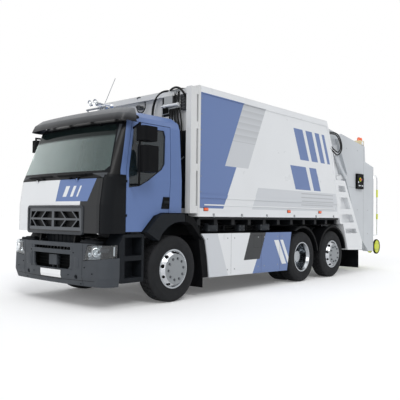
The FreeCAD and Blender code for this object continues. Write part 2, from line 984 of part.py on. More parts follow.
def make_knuckles():
    for name, x in (("front", axle_front), ("tag", axle_tag)):
        web_inner = kingpin_y + boss_radius + moving_gap
        pieces = []
        for low in (ear_low, ear_top - ear_thick):
            pieces.append(box(x - ear_reach, x + ear_reach, kingpin_y - ear_reach, brake_inner_y, low, low + ear_thick))
        pieces.append(box(x - ear_reach, x + ear_reach, web_inner, brake_inner_y, ear_low, ear_top))
        drum = Part.makeCylinder(brake_radius, brake_width, Vector(x, brake_inner_y - 1, axle_z), Vector(0, 1, 0))
        stub_length = front_disc_y - seat_gap - brake_inner_y
        stub = Part.makeCylinder(spindle_radius, stub_length, Vector(x, brake_inner_y, axle_z), Vector(0, 1, 0))
        knuckle = joined(pieces + [drum, stub])
        hole = Part.makeCylinder(kingpin_radius + pin_gap, ear_top, Vector(x, kingpin_y, 0), Vector(0, 0, 1))
        knuckle = knuckle.cut(hole)
        save(name + "_knuckle_left", [knuckle])
        save(name + "_knuckle_right", [mirrored(knuckle)])


def make_suspension():
    solids = []
    for side in (1, -1):
        y0 = spring_y - spring_width / 2
        leaf = side_prism(
            [
                (-spring_reach, rail_bottom - spring_hanger),
                (-spring_reach * 0.5, beam_top + spring_thick * 0.6),
                (-90, beam_top),
                (90, beam_top),
                (spring_reach * 0.5, beam_top + spring_thick * 0.6),
                (spring_reach, rail_bottom - spring_hanger),
                (spring_reach, rail_bottom),
                (spring_reach - 70, rail_bottom),
                (spring_reach * 0.5, beam_top + spring_thick * 1.7),
                (90, beam_top + spring_thick * 1.3),
                (-90, beam_top + spring_thick * 1.3),
                (-spring_reach * 0.5, beam_top + spring_thick * 1.7),
                (-spring_reach + 70, rail_bottom),
                (-spring_reach, rail_bottom),
            ],
            y0,
            y0 + spring_width,
        )
        solids.append(leaf if side > 0 else mirrored(leaf))
        for axle in (axle_drive, axle_tag):
            y_link = bellows_y - link_width / 2
            arm = box(axle - link_reach, axle + link_reach, y_link, y_link + link_width, link_low, link_top)
            seat = box(axle - 60, axle + 60, y_link, y_link + link_width, link_top - 5, beam_low if axle == axle_tag else axle_z - housing_radius + 4)
            pieces = [arm, seat]
            for direction in (1, -1):
                place = Vector(axle + direction * bellows_offset, bellows_y, link_top - 5)
                pieces.append(Part.makeCylinder(bellows_radius, rail_bottom - link_top + 5, place, Vector(0, 0, 1)))
            group = joined(pieces)
            if axle == axle_drive:
                group = group.cut(Part.makeCylinder(housing_radius, 2000, Vector(axle, -1000, axle_z), Vector(0, 1, 0)))
            solids.append(group if side > 0 else mirrored(group))
    save("suspension", solids)


def make_power():
    packs = []
    length = (battery_front - battery_rear - battery_gap * (battery_count - 1)) / battery_count
    for side in (1, -1):
        for index in range(battery_count):
            x0 = battery_rear + index * (length + battery_gap)
            pack = box(ahead(x0), ahead(x0 + length), battery_inner_y, battery_outer_y, battery_low, battery_top)
            pack = pack.makeFillet(20, [e for e in pack.Edges if abs(e.Length - length) < 1])
            lug = box(ahead(x0 + 60), ahead(x0 + length - 60), rail_outer_y, battery_inner_y + 5, 760, 900)
            pack = joined([pack, lug])
            packs.append(pack if side > 0 else mirrored(pack))
    save("battery_packs", packs)
    motor = box(ahead(motor_rear), ahead(motor_front), -motor_half, motor_half, motor_low, rail_top - rail_web - cross_height)
    motor = motor.makeFillet(40, [e for e in motor.Edges if abs(e.Length - (motor_front - motor_rear)) < 1])
    hanger = box(ahead(-2745), ahead(motor_rear + 5), -150, 150, 780, rail_top - rail_web - cross_height)
    front_hanger = box(ahead(motor_front - 5), ahead(-1255), -150, 150, 780, rail_top - rail_web - cross_height)
    units = [joined([motor, hanger, front_hanger])]
    start = ahead(motor_rear) - seat_gap
    nose_end = axle_drive + 390 + seat_gap
    units.append(round_bar((start, 0, axle_z + 30), (nose_end, 0, axle_z + 30), shaft_radius))
    half = electronics_half
    units.append(box(ahead(electronics_rear), ahead(electronics_front), -half, half, rail_top, electronics_top))
    units.append(box(ahead(rail_front), ahead(underrun_back - 5), -cooler_half, cooler_half, cooler_low, cooler_top))
    save("drive_units", units)


def bumper_levels(inset):
    return [
        (bumper_low, 1400 - inset, bumper_half - 20 - inset, bumper_corner - inset, bumper_bulge, 600),
        (bumper_low + 130, front_overhang - inset, bumper_half - inset, bumper_corner - inset, bumper_bulge, 600),
        (bumper_top, front_overhang - 8 - inset, bumper_half - inset, bumper_corner - inset, bumper_bulge, 600),
    ]


def lamp_region(grow):
    return front_prism(
        [
            (lamp_inner_low - grow, lamp_low - grow),
            (lamp_inner_top - grow, lamp_top - 40 + grow),
            (bumper_half + 60, lamp_top + grow),
            (bumper_half + 60, lamp_low + 60 - grow),
        ],
        bumper_end - 60,
        front_overhang + 60,
    )


def make_bumper():
    outer = Part.makeLoft([plan_section(*level) for level in bumper_levels(0)], True, True)
    inner = Part.makeLoft([plan_section(*level) for level in bumper_levels(bumper_wall)], True, True)
    inner.translate(Vector(0, 0, -bumper_wall))
    low_open = inner.copy()
    low_open.translate(Vector(0, 0, -bumper_wall))
    keep = box(ahead(bumper_end), ahead(front_overhang + 60), -bumper_half - 60, bumper_half + 60, bumper_low - 50, bumper_top + 50)
    shell = outer.cut(inner).cut(low_open).common(keep)
    top_hole = box(ahead(bumper_end - 50), ahead(1300), -bumper_half + 120, bumper_half - 120, bumper_top - 100, bumper_top + 50)
    shell = shell.cut(top_hole)
    for low, top, half in ((mouth_low, mouth_top, mouth_half), (slot_low, slot_top, mouth_half)):
        shell = shell.cut(box(ahead(1250), ahead(front_overhang + 60), -half, half, low, top))
    for region in pair(lamp_region(0)):
        shell = shell.cut(region)
    pivot_room = box(ahead(bumper_end - 50), ahead(pivot_x + 60), -520, 520, bumper_top - 100, bumper_top + 50)
    shell = shell.cut(pivot_room)
    beam_front = ahead(underrun_back + underrun_depth) + seat_gap
    for side in (1, -1):
        arm = box(beam_front, ahead(front_overhang), side * 540 - 25, side * 540 + 25, underrun_low, underrun_low + underrun_height)
        shell = joined([shell, arm.common(outer)])
    tow_z = underrun_low + underrun_height / 2
    for y in (tow_y, -tow_y):
        shell = shell.cut(Part.makeCylinder(tow_hole_radius, 400, Vector(ahead(bumper_end), y, tow_z), Vector(1, 0, 0)))
    save("front_bumper", [shell])
    deep = Part.makeLoft([plan_section(*level) for level in bumper_levels(lamp_depth)], True, True)
    lamp = outer.cut(deep).common(lamp_region(0)).common(keep)
    save("headlamps", pair(lamp))


def make_steps():
    outline = [
        (step_front, step_bottom + 60),
        (step_front, step_top - 140),
        (step_front - 90, step_top),
        (step_rear, step_top),
        (step_rear, step_bottom),
        (step_front - 60, step_bottom),
    ]
    well = side_prism(outline, step_inner_y, step_outer_y)
    for height, room in zip(tread_heights, tread_openings):
        well = well.cut(
            box(ahead(step_rear + 45), ahead(step_front - 110), step_outer_y - tread_depth, step_outer_y + 60, height, height + room)
        )
    bracket = box(ahead(700), ahead(900), rail_outer_y, step_inner_y + 5, 720, 800)
    save("cab_steps", pair(joined([well, bracket])))


def half_arch(x, inner_radius, outer_radius, y0, y1, low):
    ring = Part.makeCylinder(outer_radius, y1 - y0, Vector(x, y0, axle_z), Vector(0, 1, 0))
    ring = ring.cut(Part.makeCylinder(inner_radius, y1 - y0, Vector(x, y0, axle_z), Vector(0, 1, 0)))
    return ring.common(box(x - 1000, x + 1000, y0, y1, low, 2000))


def make_guards():
    solids = []
    for axle, inner_y in ((axle_drive, drive_guard_inner_y), (axle_tag, guard_inner_y)):
        arch = half_arch(axle, guard_radius, guard_radius + guard_thick, inner_y, guard_outer_y, guard_end)
        lip = half_arch(axle, guard_radius - 6, guard_lip_radius, guard_outer_y - guard_lip_width, guard_outer_y, guard_end)
        if axle == axle_drive:
            front_room = box(axle, axle + 1000, 0, guard_outer_y + far, 0, skirt_top + 8)
            arch = arch.cut(front_room)
            lip = lip.cut(front_room)
        stay_z = axle_z + guard_radius + guard_thick / 2
        stay = Part.makeCylinder(16, inner_y + 20 - rail_outer_y, Vector(axle, rail_outer_y, stay_z), Vector(0, 1, 0))
        guard = joined([arch, lip, stay])
        solids += pair(guard)
    face = side_prism(
        [(-560, 1085), (-600, 940), (-645, 640), (-700, 329), (-838, 329), (-800, 640), (-735, 940), (-640, 1035)],
        guard_outer_y - 60,
        guard_outer_y - 20,
    )
    tail = flare_part(-700, cab_rear - 12)
    shell = side_prism([(-600, 940), (-645, 640), (-700, 329), (-725, 329), (-670, 640), (-625, 940)], guard_inner_y, guard_outer_y - 60)
    stay = box(ahead(-640), ahead(-600), rail_outer_y, guard_inner_y + 5, 880, 920)
    solids += pair(joined([face, shell, stay, tail]))
    front_flap = box(ahead(-715), ahead(-715 + flap_thickness), guard_inner_y, guard_outer_y - 30, 165, 329)
    rear_flap = box(ahead(-6640), ahead(-6640 + flap_thickness), 460, 1195, 120, 564.2)
    save("mudguards", solids + pair(front_flap) + pair(rear_flap))


def make_skirts():
    outline = [
        (-640, skirt_top),
        (-3450, skirt_top - 14),
        (-3290, skirt_bottom - 20),
        (-860, skirt_bottom + 22),
        (-812, 640),
        (-748, 955),
    ]
    y0 = skirt_outer_y - skirt_thick
    panel = side_prism(outline, y0, skirt_outer_y)
    pieces = [panel]
    for x in (-1100, -2050, -3000):
        pieces.append(box(ahead(x - 40), ahead(x + 40), battery_outer_y, y0 + 5, 500, 560))
        pieces.append(box(ahead(x - 40), ahead(x + 40), battery_outer_y, y0 + 5, 900, 950))
    save("side_skirts", pair(joined(pieces)))


def slant(z):
    """Rear edge of the body's side wall at a height."""
    points = [(body_top, -4930), (2956, -5190), (2295, -5345), (1392, -5560), (body_low, -5570)]
    for (z1, x1), (z0, x0) in zip(points, points[1:]):
        if z >= z0:
            return x0 + (x1 - x0) * (z - z0) / (z1 - z0)
    return points[-1][1]


def parting(z):
    (x1, z1), (x0, z0) = part_top, part_low
    return x0 + (x1 - x0) * (z - z0) / (z1 - z0)


def make_body():
    wall_in = body_half - wall_thick
    strip = post_strip
    outline = [
        (body_front - front_wall_thick, body_low),
        (body_front - front_wall_thick, body_top),
        (slant(body_top) + strip, body_top),
        (slant(2956) + strip, 2956),
        (slant(2295) + strip, 2295),
        (slant(body_low) + strip, body_low),
    ]
    wall = side_prism(outline, wall_in, body_half - rail_proud)
    bands = []
    for low, top in ((body_low, body_low + 90), (1660, 1725), (body_top - 120, body_top)):
        band = box(ahead(slant(body_low)), ahead(body_front - front_wall_thick), body_half - rail_proud - 2, body_half, low, top)
        bands.append(band.common(side_prism(outline, wall_in, body_half)))
    save("body_sides", pair(joined([wall] + bands)))
    roof_front = body_front - front_wall_thick
    roof_rear = slant(body_top) + strip
    roof = box(ahead(roof_rear), ahead(roof_front), -wall_in, wall_in, body_top - roof_thick, body_top - roof_rib_height)
    pitch = (roof_front - roof_rear) / roof_rib_count
    ribs = [roof]
    for index in range(roof_rib_count):
        x = roof_rear + pitch * (index + 0.5)
        ribs.append(box(ahead(x - roof_rib), ahead(x + roof_rib), -wall_in, wall_in, body_top - roof_rib_height - 2, body_top))
    save("body_roof", [joined(ribs)])
    floor_rear = parting(body_low) + 60
    plate = box(ahead(floor_rear), ahead(body_front - front_wall_thick), -ladder_inner_y, ladder_inner_y, body_low - floor_thick, body_low)
    side_plates = box(ahead(slant(body_low) + strip), ahead(body_front - front_wall_thick), -body_half + 20, body_half - 20, body_low - floor_thick, body_low)
    beams = [plate, side_plates]
    beam_rear = -6145
    for side in (1, -1):
        y0 = rail_outer_y - rail_flange
        beam = box(ahead(beam_rear), ahead(body_front), y0, rail_outer_y, sub_low, body_low - floor_thick + 2)
        beams.append(beam if side > 0 else mirrored(beam))
    span = (slant(body_low) + strip - (body_front - front_wall_thick)) / (bearer_count - 1)
    for index in range(bearer_count):
        x = body_front - front_wall_thick + span * index
        x = min(x, body_front - front_wall_thick - bearer_width / 2)
        x = max(x, slant(body_low) + strip + bearer_width / 2)
        low = body_low - floor_thick - bearer_height
        beams.append(box(ahead(x - bearer_width / 2), ahead(x + bearer_width / 2), -body_half + 60, body_half - 60, low, body_low - floor_thick + 2))
    save("body_floor", [joined(beams)])


def make_front_frame():
    wall = box(ahead(body_front - front_wall_thick), ahead(body_front), -body_half, body_half, body_low, body_top)
    arch = box(ahead(body_front - 100), ahead(body_front + 50), 360, 540, 3080, 3300)
    arch = arch.fuse(Part.makeCylinder(90, 150, Vector(ahead(body_front - 100), 450, 3300), Vector(1, 0, 0)))
    wall = wall.cut(arch)
    pieces = [wall]
    for side in (1, -1):
        post = box(ahead(post_rear), ahead(post_rear + post_depth), body_half - post_width, body_half - 10, 1400, body_top - 40)
        ties = [post]
        for z in (1400, 2100, 2800, 3370):
            ties.append(box(ahead(body_front - 5), ahead(post_rear + 5), body_half - post_width, body_half - 10, z, z + 120))
        group = joined(ties)
        pieces.append(group if side > 0 else mirrored(group))
    top = box(ahead(post_rear), ahead(post_rear + 60), -body_half + 15, body_half - 15, body_top - 130, body_top - 45)
    pieces.append(top)
    foot = box(ahead(post_rear), ahead(post_rear + 100), -body_half + 15, body_half - 15, 1400, 1480)
    pieces.append(foot)
    save("body_front_frame", [joined(pieces)])


def make_hydraulics():
    block = box(ahead(body_front), ahead(body_front + 150), 560, 760, 3210, 3390)
    pieces = [block]
    for index in range(4):
        y = 600 + 40 * index
        pieces.append(round_bar((ahead(body_front + 30), y, 1600), (ahead(body_front + 30), y, 3220), 11))
    clamps = box(ahead(body_front), ahead(body_front + 45), 580, 745, 2300, 2350)
    pieces.append(clamps)
    pieces.append(box(ahead(body_front), ahead(body_front + 140), 520, 800, 1500, 1610))
    save("body_hydraulics", [joined(pieces)])


def make_rear_frame():
    pieces = []
    upper = [
        (slant(body_top) + post_strip, body_top - roof_thick),
        (part_top[0] + 30, body_top - roof_thick),
        (parting(3380), 3380),
        (parting(1260), 1260),
        (slant(body_low), 1260),
        (slant(body_low), body_low),
        (slant(2295), 2295),
        (slant(2956), 2956),
    ]
    pieces.append(side_prism(upper, ladder_inner_y, frame_plate_y))
    strip = [
        (slant(body_top) + post_strip, body_top),
        (slant(body_top), body_top),
        (slant(2956), 2956),
        (slant(2295), 2295),
        (slant(body_low), body_low),
        (slant(body_low) + post_strip, body_low),
        (slant(2295) + post_strip, 2295),
        (slant(2956) + post_strip, 2956),
    ]
    pieces.append(side_prism(strip, ladder_inner_y, body_half - 2))
    ladder = [
        (slant(2227), 2227),
        (parting(2227), 2227),
        (parting(740), 740),
        (-6765, 560),
        (-5990, 588),
        (-5745, 1199),
        (-5600, 1207),
        (slant(body_low) + 20, body_low),
        (slant(body_low) + 20, body_low + 15),
    ]
    block = side_prism(ladder, ladder_inner_y, ladder_outer_y)
    pockets = [
        [(-5500, 1960), (-5500, 2100), (-5800, 2100), (-5885, 1960)],
        [(-5610, 1560), (-5610, 1830), (-5950, 1830), (-6130, 1560)],
        [(-5690, 1240), (-5690, 1430), (-6200, 1430), (-6330, 1240)],
        [(-5880, 980), (-5860, 1090), (-6420, 1090), (-6490, 980)],
    ]
    for pocket in pockets:
        block = block.cut(side_prism(pocket, ladder_outer_y - 110, ladder_outer_y + 50))
    foot = box(ahead(foot_x - 55), ahead(-5700), foot_plate_y - 20, foot_plate_y, foot_z - 50, foot_z + 50)
    foot = foot.fuse(box(ahead(-5760), ahead(-5560), frame_plate_y - 5, foot_plate_y, foot_z - 100, foot_z + 20))
    pin = cross_bar(foot_x, foot_z, 20, foot_plate_y - 5, 1228)
    pieces.append(block)
    pieces.append(foot)
    pieces.append(pin)
    left = joined(pieces)
    beam = box(ahead(slant(body_top)), ahead(slant(body_top) + post_strip), -ladder_inner_y - 5, ladder_inner_y + 5, body_top - 160, body_top)
    sill = side_prism([(parting(1150) + 10, 1150), (parting(1290) + 10, 1290), (-6150, 1290), (-6150, 1150)], -ladder_inner_y - 5, ladder_inner_y + 5)
    parts = [left, mirrored(left), beam, sill]
    for side in (1, -1):
        for offset in (-47, 47):
            y = side * gate_hinge_y + offset
            lug = side_prism(
                [
                    (slant(body_top) + 20, body_top - 130),
                    (gate_hinge_x - 30, gate_hinge_z - 40),
                    (gate_hinge_x - 45, gate_hinge_z),
                    (gate_hinge_x - 20, gate_hinge_z + 45),
                    (slant(body_top) + 20, body_top),
                ],
                y - 17,
                y + 17,
            )
            parts.append(lug)
        parts.append(cross_bar(gate_hinge_x, gate_hinge_z, gate_pin_radius, side * gate_hinge_y - 64, side * gate_hinge_y + 64))
    save("body_rear_frame", [joined(parts)])


def gate_line(z, offset):
    """A line behind the parting line, square to it by an offset."""
    (x1, z1), (x0, z0) = part_top, part_low
    length = math.hypot(x1 - x0, z1 - z0)
    return parting(z) - offset * length / (z1 - z0)


def make_tailgate():
    plate = [
        (gate_line(3360, gate_gap), 3360),
        (-5200, 3402),
        (-6964, 3161),
        (-7003, 2775),
        (gate_rear, 2672),
        (gate_rear, 500),
        (-7200, 500),
        (-6850, 690),
        (gate_line(745, gate_gap), 745),
    ]
    side = side_prism(plate, gate_inner_y, gate_plate_y)
    skin = [
        (-5680, 3336),
        (-6964, 3161),
        (-7003, 2775),
        (gate_rear, 2672),
        (gate_rear, 500),
        (-7200, 500),
        (gate_line(820, 40), 820),
        (gate_line(1500, 40), 1500),
        (gate_line(2250, 120), 2250),
        (gate_line(2420, gate_skin_offset), 2420),
        (gate_line(3200, gate_skin_offset), 3200),
    ]
    side = joined([side, side_prism(skin, gate_plate_y - 5, gate_outer_y)])
    ear = side_prism(
        [(-5560, 2860), (-5330, 2820), (-5235, 2850), (-5235, 2915), (-5330, 2960), (-5560, 3120)],
        gate_plate_y - 5,
        1165,
    )
    side = joined([side, ear])
    side = joined([side] + guide_rails())
    controls = box(ahead(-6790), ahead(-6450), gate_outer_y - 5, gate_outer_y + 55, 2070, 2440)
    save("tailgate_sides", [joined([side, controls]), mirrored(side)])
    cover = side_prism(
        [
            (-5165, 3405),
            (-6964, 3161),
            (-7003, 2775),
            (-6963, 2775),
            (-6926, 3125),
            (-5165, 3364),
        ],
        -gate_inner_y,
        gate_inner_y,
    )
    pieces = [cover]
    for side_sign in (1, -1):
        y = side_sign * gate_hinge_y
        arm = side_prism(
            [
                (gate_hinge_x + 35, gate_hinge_z - 35),
                (gate_hinge_x + 35, gate_hinge_z + 35),
                (gate_hinge_x - 35, gate_hinge_z + 35),
                (-5400, 3395),
                (-5400, 3350),
                (-5165, 3380),
            ],
            y - 25,
            y + 25,
        )
        arm = joined([arm, cross_bar(gate_hinge_x, gate_hinge_z, gate_eye_radius, y - 25, y + 25)])
        arm = arm.cut(cross_bar(gate_hinge_x, gate_hinge_z, gate_pin_radius + pin_gap, y - 40, y + 40))
        pieces.append(arm)
    for side_sign in (1, -1):
        y = side_sign * 930
        lamp_box = box(ahead(-6960), ahead(-6790), y - 80, y + 80, 3100, 3300)
        pieces.append(lamp_box.cut(box(ahead(-6926), ahead(-6000), -2000, 2000, 2900, 3125)))
    save("tailgate_cover", [joined(pieces)])


def polar(centre, radius, degrees):
    angle = math.radians(degrees)
    return (centre[0] + radius * math.cos(angle), centre[1] + radius * math.sin(angle))


def make_hopper():
    centre = (packer_x, packer_z)
    outer_points = []
    inner_points = []
    start = -114
    end = -154
    steps = 8
    for index in range(steps + 1):
        degrees = start + (end - start) * index / steps
        inner_points.append(polar(centre, packer_radius, degrees))
        outer_points.append(polar(centre, packer_radius + trough_thick, degrees))
    ramp_gap = gate_gap
    ramp_top = 1285
    outline = [(gate_line(ramp_top, ramp_gap), ramp_top)]
    low_z = inner_points[0][1]
    outline.append((gate_line(low_z - 24, ramp_gap), low_z - 24))
    outline += outer_points
    outline.append((gate_rear + 5, outer_points[-1][1]))
    outline.append((gate_rear + 5, sill_z + 20))
    outline.append((gate_rear + 70, sill_z + 20))
    outline += inner_points[::-1]
    outline.append((gate_line(low_z + 30, ramp_gap + trough_thick), low_z + 30))
    outline.append((gate_line(ramp_top, ramp_gap + trough_thick), ramp_top))
    trough = side_prism(outline, -gate_inner_y, gate_inner_y)
    bar = box(ahead(gate_rear + 22), ahead(gate_rear + 110), -gate_inner_y, gate_inner_y, 510, 620)
    save("hopper_trough", [trough, bar] + lifter_brackets())


def along(start, distance, offset):
    """Point from a start, down the parting direction and square behind it."""
    (x1, z1), (x0, z0) = part_top, part_low
    length = math.hypot(x1 - x0, z1 - z0)
    down = ((x0 - x1) / length, (z0 - z1) / length)
    back = (down[1], -down[0])
    return (start[0] + down[0] * distance + back[0] * offset, start[1] + down[1] * distance + back[1] * offset)


def guide_rails():
    """Two bars on the inside of the left side plate that the carrier's shoes run between."""
    pivot = (packer_x, packer_z)
    half = carrier_thick / 2
    bars = []
    top = -carrier_length - carrier_stroke + 130
    for sign in (-1, 1):
        near = sign * (half + slide_gap)
        wide = sign * (half + slide_gap + 22)
        corners = [along(pivot, top, near), along(pivot, -20, near), along(pivot, -20, wide), along(pivot, top, wide)]
        bars.append(side_prism(corners, gate_inner_y - rail_bar, gate_inner_y + 5))
    return bars


def make_packer():
    pivot = (packer_x, packer_z)
    half = carrier_thick / 2
    plate = [along(pivot, -carrier_length, -half), along(pivot, -carrier_length, half), along(pivot, -70, half), along(pivot, -70, -half)]
    carrier = side_prism(plate, -carrier_half, carrier_half)
    pieces = [carrier]
    for y in (-700, 700):
        lug = side_prism([along(pivot, -80, -half + 5), along(pivot, 25, -30), along(pivot, 38, 0), along(pivot, 25, 30), along(pivot, -80, half - 5)], y - 30, y + 30)
        pieces.append(lug)
    pieces.append(cross_bar(packer_x, packer_z, packer_pin_radius, -760, 760))
    for side in (1, -1):
        for distance in (-carrier_length + 60, -180):
            shoe = side_prism(
                [
                    along(pivot, distance - 60, -half - slide_gap + seat_gap),
                    along(pivot, distance - 60, half + slide_gap - seat_gap),
                    along(pivot, distance + 60, half + slide_gap - seat_gap),
                    along(pivot, distance + 60, -half - slide_gap + seat_gap),
                ],
                carrier_half - 40,
                gate_inner_y - 12,
            )
            pieces.append(shoe if side > 0 else mirrored(shoe))
    save("carrier_plate", [joined(pieces)])
    tip = packer_length
    closed = packer_closed_deg
    ux = math.cos(math.radians(closed))
    uz = math.sin(math.radians(closed))

    def at(distance, side_offset):
        return (packer_x + ux * distance - uz * side_offset, packer_z + uz * distance + ux * side_offset)

    blade = side_prism(
        [at(70, -packer_thick / 2), at(tip - 60, -packer_thick / 2), at(tip, -10), at(tip, 10), at(tip - 30, packer_thick / 2), at(70, packer_thick / 2)],
        -packer_half,
        packer_half,
    )
    blades = [blade]
    for y in (-560, 0, 560):
        boss = side_prism([at(80, -34), at(0, -50), at(0, 50), at(80, 34)], y - 45, y + 45)
        blades.append(boss)
        blades.append(cross_bar(packer_x, packer_z, 52, y - 45, y + 45))
    packer = joined(blades).cut(cross_bar(packer_x, packer_z, packer_pin_radius + pin_gap, -900, 900))
    save("packer_plate", [packer])


def make_lifter():
    back = rear_end - axle_front
    beam = [cross_bar(lifter_beam_x, lifter_beam_z, lifter_beam_radius, -lifter_disc_y + 10, lifter_disc_y - 10)]
    disc = cross_bar(lifter_beam_x, lifter_beam_z, lifter_disc_radius, lifter_disc_y - lifter_disc_thick, lifter_disc_y)
    beam += pair(disc)
    comb = [box(ahead(back + 90), ahead(back + 120), -comb_half, comb_half, comb_low, comb_top - 60)]
    comb.append(box(ahead(back), ahead(back + 100), -comb_half, comb_half, comb_low, comb_low + 40))
    pitch = 2 * comb_half / comb_teeth
    for index in range(comb_teeth):
        y = -comb_half + pitch * (index + 0.5)
        comb.append(box(ahead(back + 92), ahead(back + 118), y - pitch * 0.22, y + pitch * 0.22, comb_top - 65, comb_top))
    arm = side_prism(
        [
            (lifter_x - 45, lifter_z + 45),
            (lifter_x + 45, lifter_z + 45),
            (lifter_x + 50, lifter_z - 60),
            (lifter_beam_x + 45, lifter_beam_z),
            (lifter_beam_x - 45, lifter_beam_z),
            (lifter_x - 60, lifter_z - 60),
        ],
        lifter_arm_y - lifter_arm_width / 2,
        lifter_arm_y + lifter_arm_width / 2,
    )
    near = ahead(back + 120) + seat_gap
    tie = box(near, ahead(lifter_beam_x + 40), lifter_arm_y - 30, lifter_arm_y + 30, comb_low, comb_low + 160)
    arm = joined([arm, tie])
    arm = arm.cut(cross_bar(lifter_beam_x, lifter_beam_z, lifter_beam_radius + seat_gap, -1000, 1000))
    arm = arm.cut(cross_bar(lifter_x, lifter_z, 22 + pin_gap, -1000, 1000))
    arm = arm.cut(box(ahead(back) - 50, near, -2000, 2000, comb_low - 100, comb_top + 50))
    save("bin_lifter", [joined(beam), joined(comb)] + pair(arm))


def lifter_brackets():
    """Ears behind the sill that carry the lifter's pins."""
    groups = []
    for side in (1, -1):
        brackets = []
        for offset in (-54, 54):
            y = side * lifter_arm_y + offset
            brackets.append(
                side_prism(
                    [
                        (gate_rear + 8, lifter_z + 60),
                        (lifter_x + 20, lifter_z + 32),
                        (lifter_x - 30, lifter_z + 20),
                        (lifter_x - 30, lifter_z - 25),
                        (gate_rear + 8, lifter_z - 90),
                    ],
                    y - 14,
                    y + 14,
                )
            )
        brackets.append(cross_bar(lifter_x, lifter_z, 22, side * lifter_arm_y - 68, side * lifter_arm_y + 68))
        groups.append(joined(brackets))
    return groups


def make_safety_rails():
    solids = []
    radius = (safety_front - safety_back) / 2
    middle = (safety_front + safety_back) / 2
    legs = []
    for x in (safety_front, safety_back):
        legs.append(round_bar((ahead(x), safety_y, safety_low), (ahead(x), safety_y, safety_top - radius), rail_tube))
    bend = Part.makeTorus(radius, rail_tube, Vector(ahead(middle), safety_y, safety_top - radius), Vector(0, 1, 0))
    bend = bend.common(box(ahead(safety_back - 50), ahead(safety_front + 50), 1000, 1300, safety_top - radius, safety_top + 50))
    low = round_bar((ahead(safety_front), safety_y, safety_low), (ahead(safety_back), safety_y, safety_low), rail_tube)
    ties = []
    for z in (1150, 2150):
        ties.append(box(ahead(safety_front), ahead(gate_rear), safety_y - 20, safety_y + 20, z, z + 50))
    rail = joined(legs + [bend, low] + ties)
    plate_cut = box(ahead(gate_rear - 60), ahead(gate_rear + 100), 900, 1300, 400, 2800)
    rail_tip = rail.cut(plate_cut)
    solids += pair(rail)
    save("safety_rails", solids)
    return rail_tip


def make_rear_lamps():
    lamps = []
    for side in (1, -1):
        lamp = box(ahead(gate_rear - 36), ahead(gate_rear - seat_gap), gate_inner_y + 15, gate_outer_y - 60, 1500, 1800)
        lamps.append(lamp if side > 0 else mirrored(lamp))
    save("rear_lamps", lamps)


def make_cylinders():
    dx = eye_x - foot_x
    dz = eye_z - foot_z
    length = math.hypot(dx, dz)
    ux = dx / length
    uz = dz / length

    def spot(distance):
        return (ahead(foot_x + ux * distance), cylinder_y, foot_z + uz * distance)

    barrel = round_bar(spot(0), spot(barrel_length), barrel_radius)
    foot_ring = cross_bar(foot_x, foot_z, eye_radius, cylinder_y - eye_width / 2, cylinder_y + eye_width / 2)
    barrel = joined([barrel, foot_ring])
    barrel = barrel.cut(round_bar(spot(eye_radius + 15), spot(barrel_length - gland_length), barrel_bore))
    barrel = barrel.cut(round_bar(spot(barrel_length - gland_length - 5), spot(barrel_length + 10), rod_radius + pin_gap))
    barrel = barrel.cut(cross_bar(foot_x, foot_z, 20 + pin_gap, 1100, 1300))
    save("lift_cylinder_barrels", pair(barrel))
    piston = round_bar(spot(piston_start), spot(piston_start + 30), barrel_bore - pin_gap)
    rod = round_bar(spot(piston_start + 25), spot(length - 10), rod_radius)
    eye = cross_bar(eye_x, eye_z, eye_radius, cylinder_y - eye_width / 2, cylinder_y + eye_width / 2)
    pin = cross_bar(eye_x, eye_z, 20, 1165 + seat_gap, cylinder_y + eye_width / 2 + 5)
    save("lift_cylinder_rods", pair(joined([piston, rod, eye, pin])))


def make_ejector():
    half = body_half - wall_thick - 12
    top = body_top - roof_thick - 20
    low = body_low + 10
    outline = [
        (body_front - 70, top),
        (body_front - 70, low),
        (body_front - 620, low),
        (body_front - 560, low + 300),
        (body_front - 150, top),
    ]
    hollow = [
        (body_front - 70, top - 60),
        (body_front - 70, low + 60),
        (body_front - 550, low + 60),
        (body_front - 500, low + 290),
        (body_front - 100, top - 60),
    ]
    face = side_prism(outline, -half, half)
    for low_y, high_y in ((-half + 40, -20), (20, half - 40)):
        face = face.cut(side_prism(hollow, low_y, high_y))
    shoe = box(ahead(body_front - 560), ahead(body_front - 120), -half + 100, half - 100, body_low + seat_gap, body_low + 14)
    save("ejector_plate", [joined([face, shoe])])


make_doors()
make_cab()
make_flap()
make_visor()
make_flares()
make_interior()
make_mirrors()
make_wheels()
make_frame()
make_axles()
make_knuckles()
make_suspension()
make_power()
make_bumper()
make_steps()
make_guards()
make_skirts()
make_body()
make_front_frame()
make_hydraulics()
make_rear_frame()
make_tailgate()
make_hopper()
make_packer()
make_lifter()
make_safety_rails()
make_rear_lamps()
make_cylinders()
make_ejector()
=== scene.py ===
import json
import math
import bmesh
import bpy
from mathutils import Matrix, Vector
from mathutils.bvhtree import BVHTree


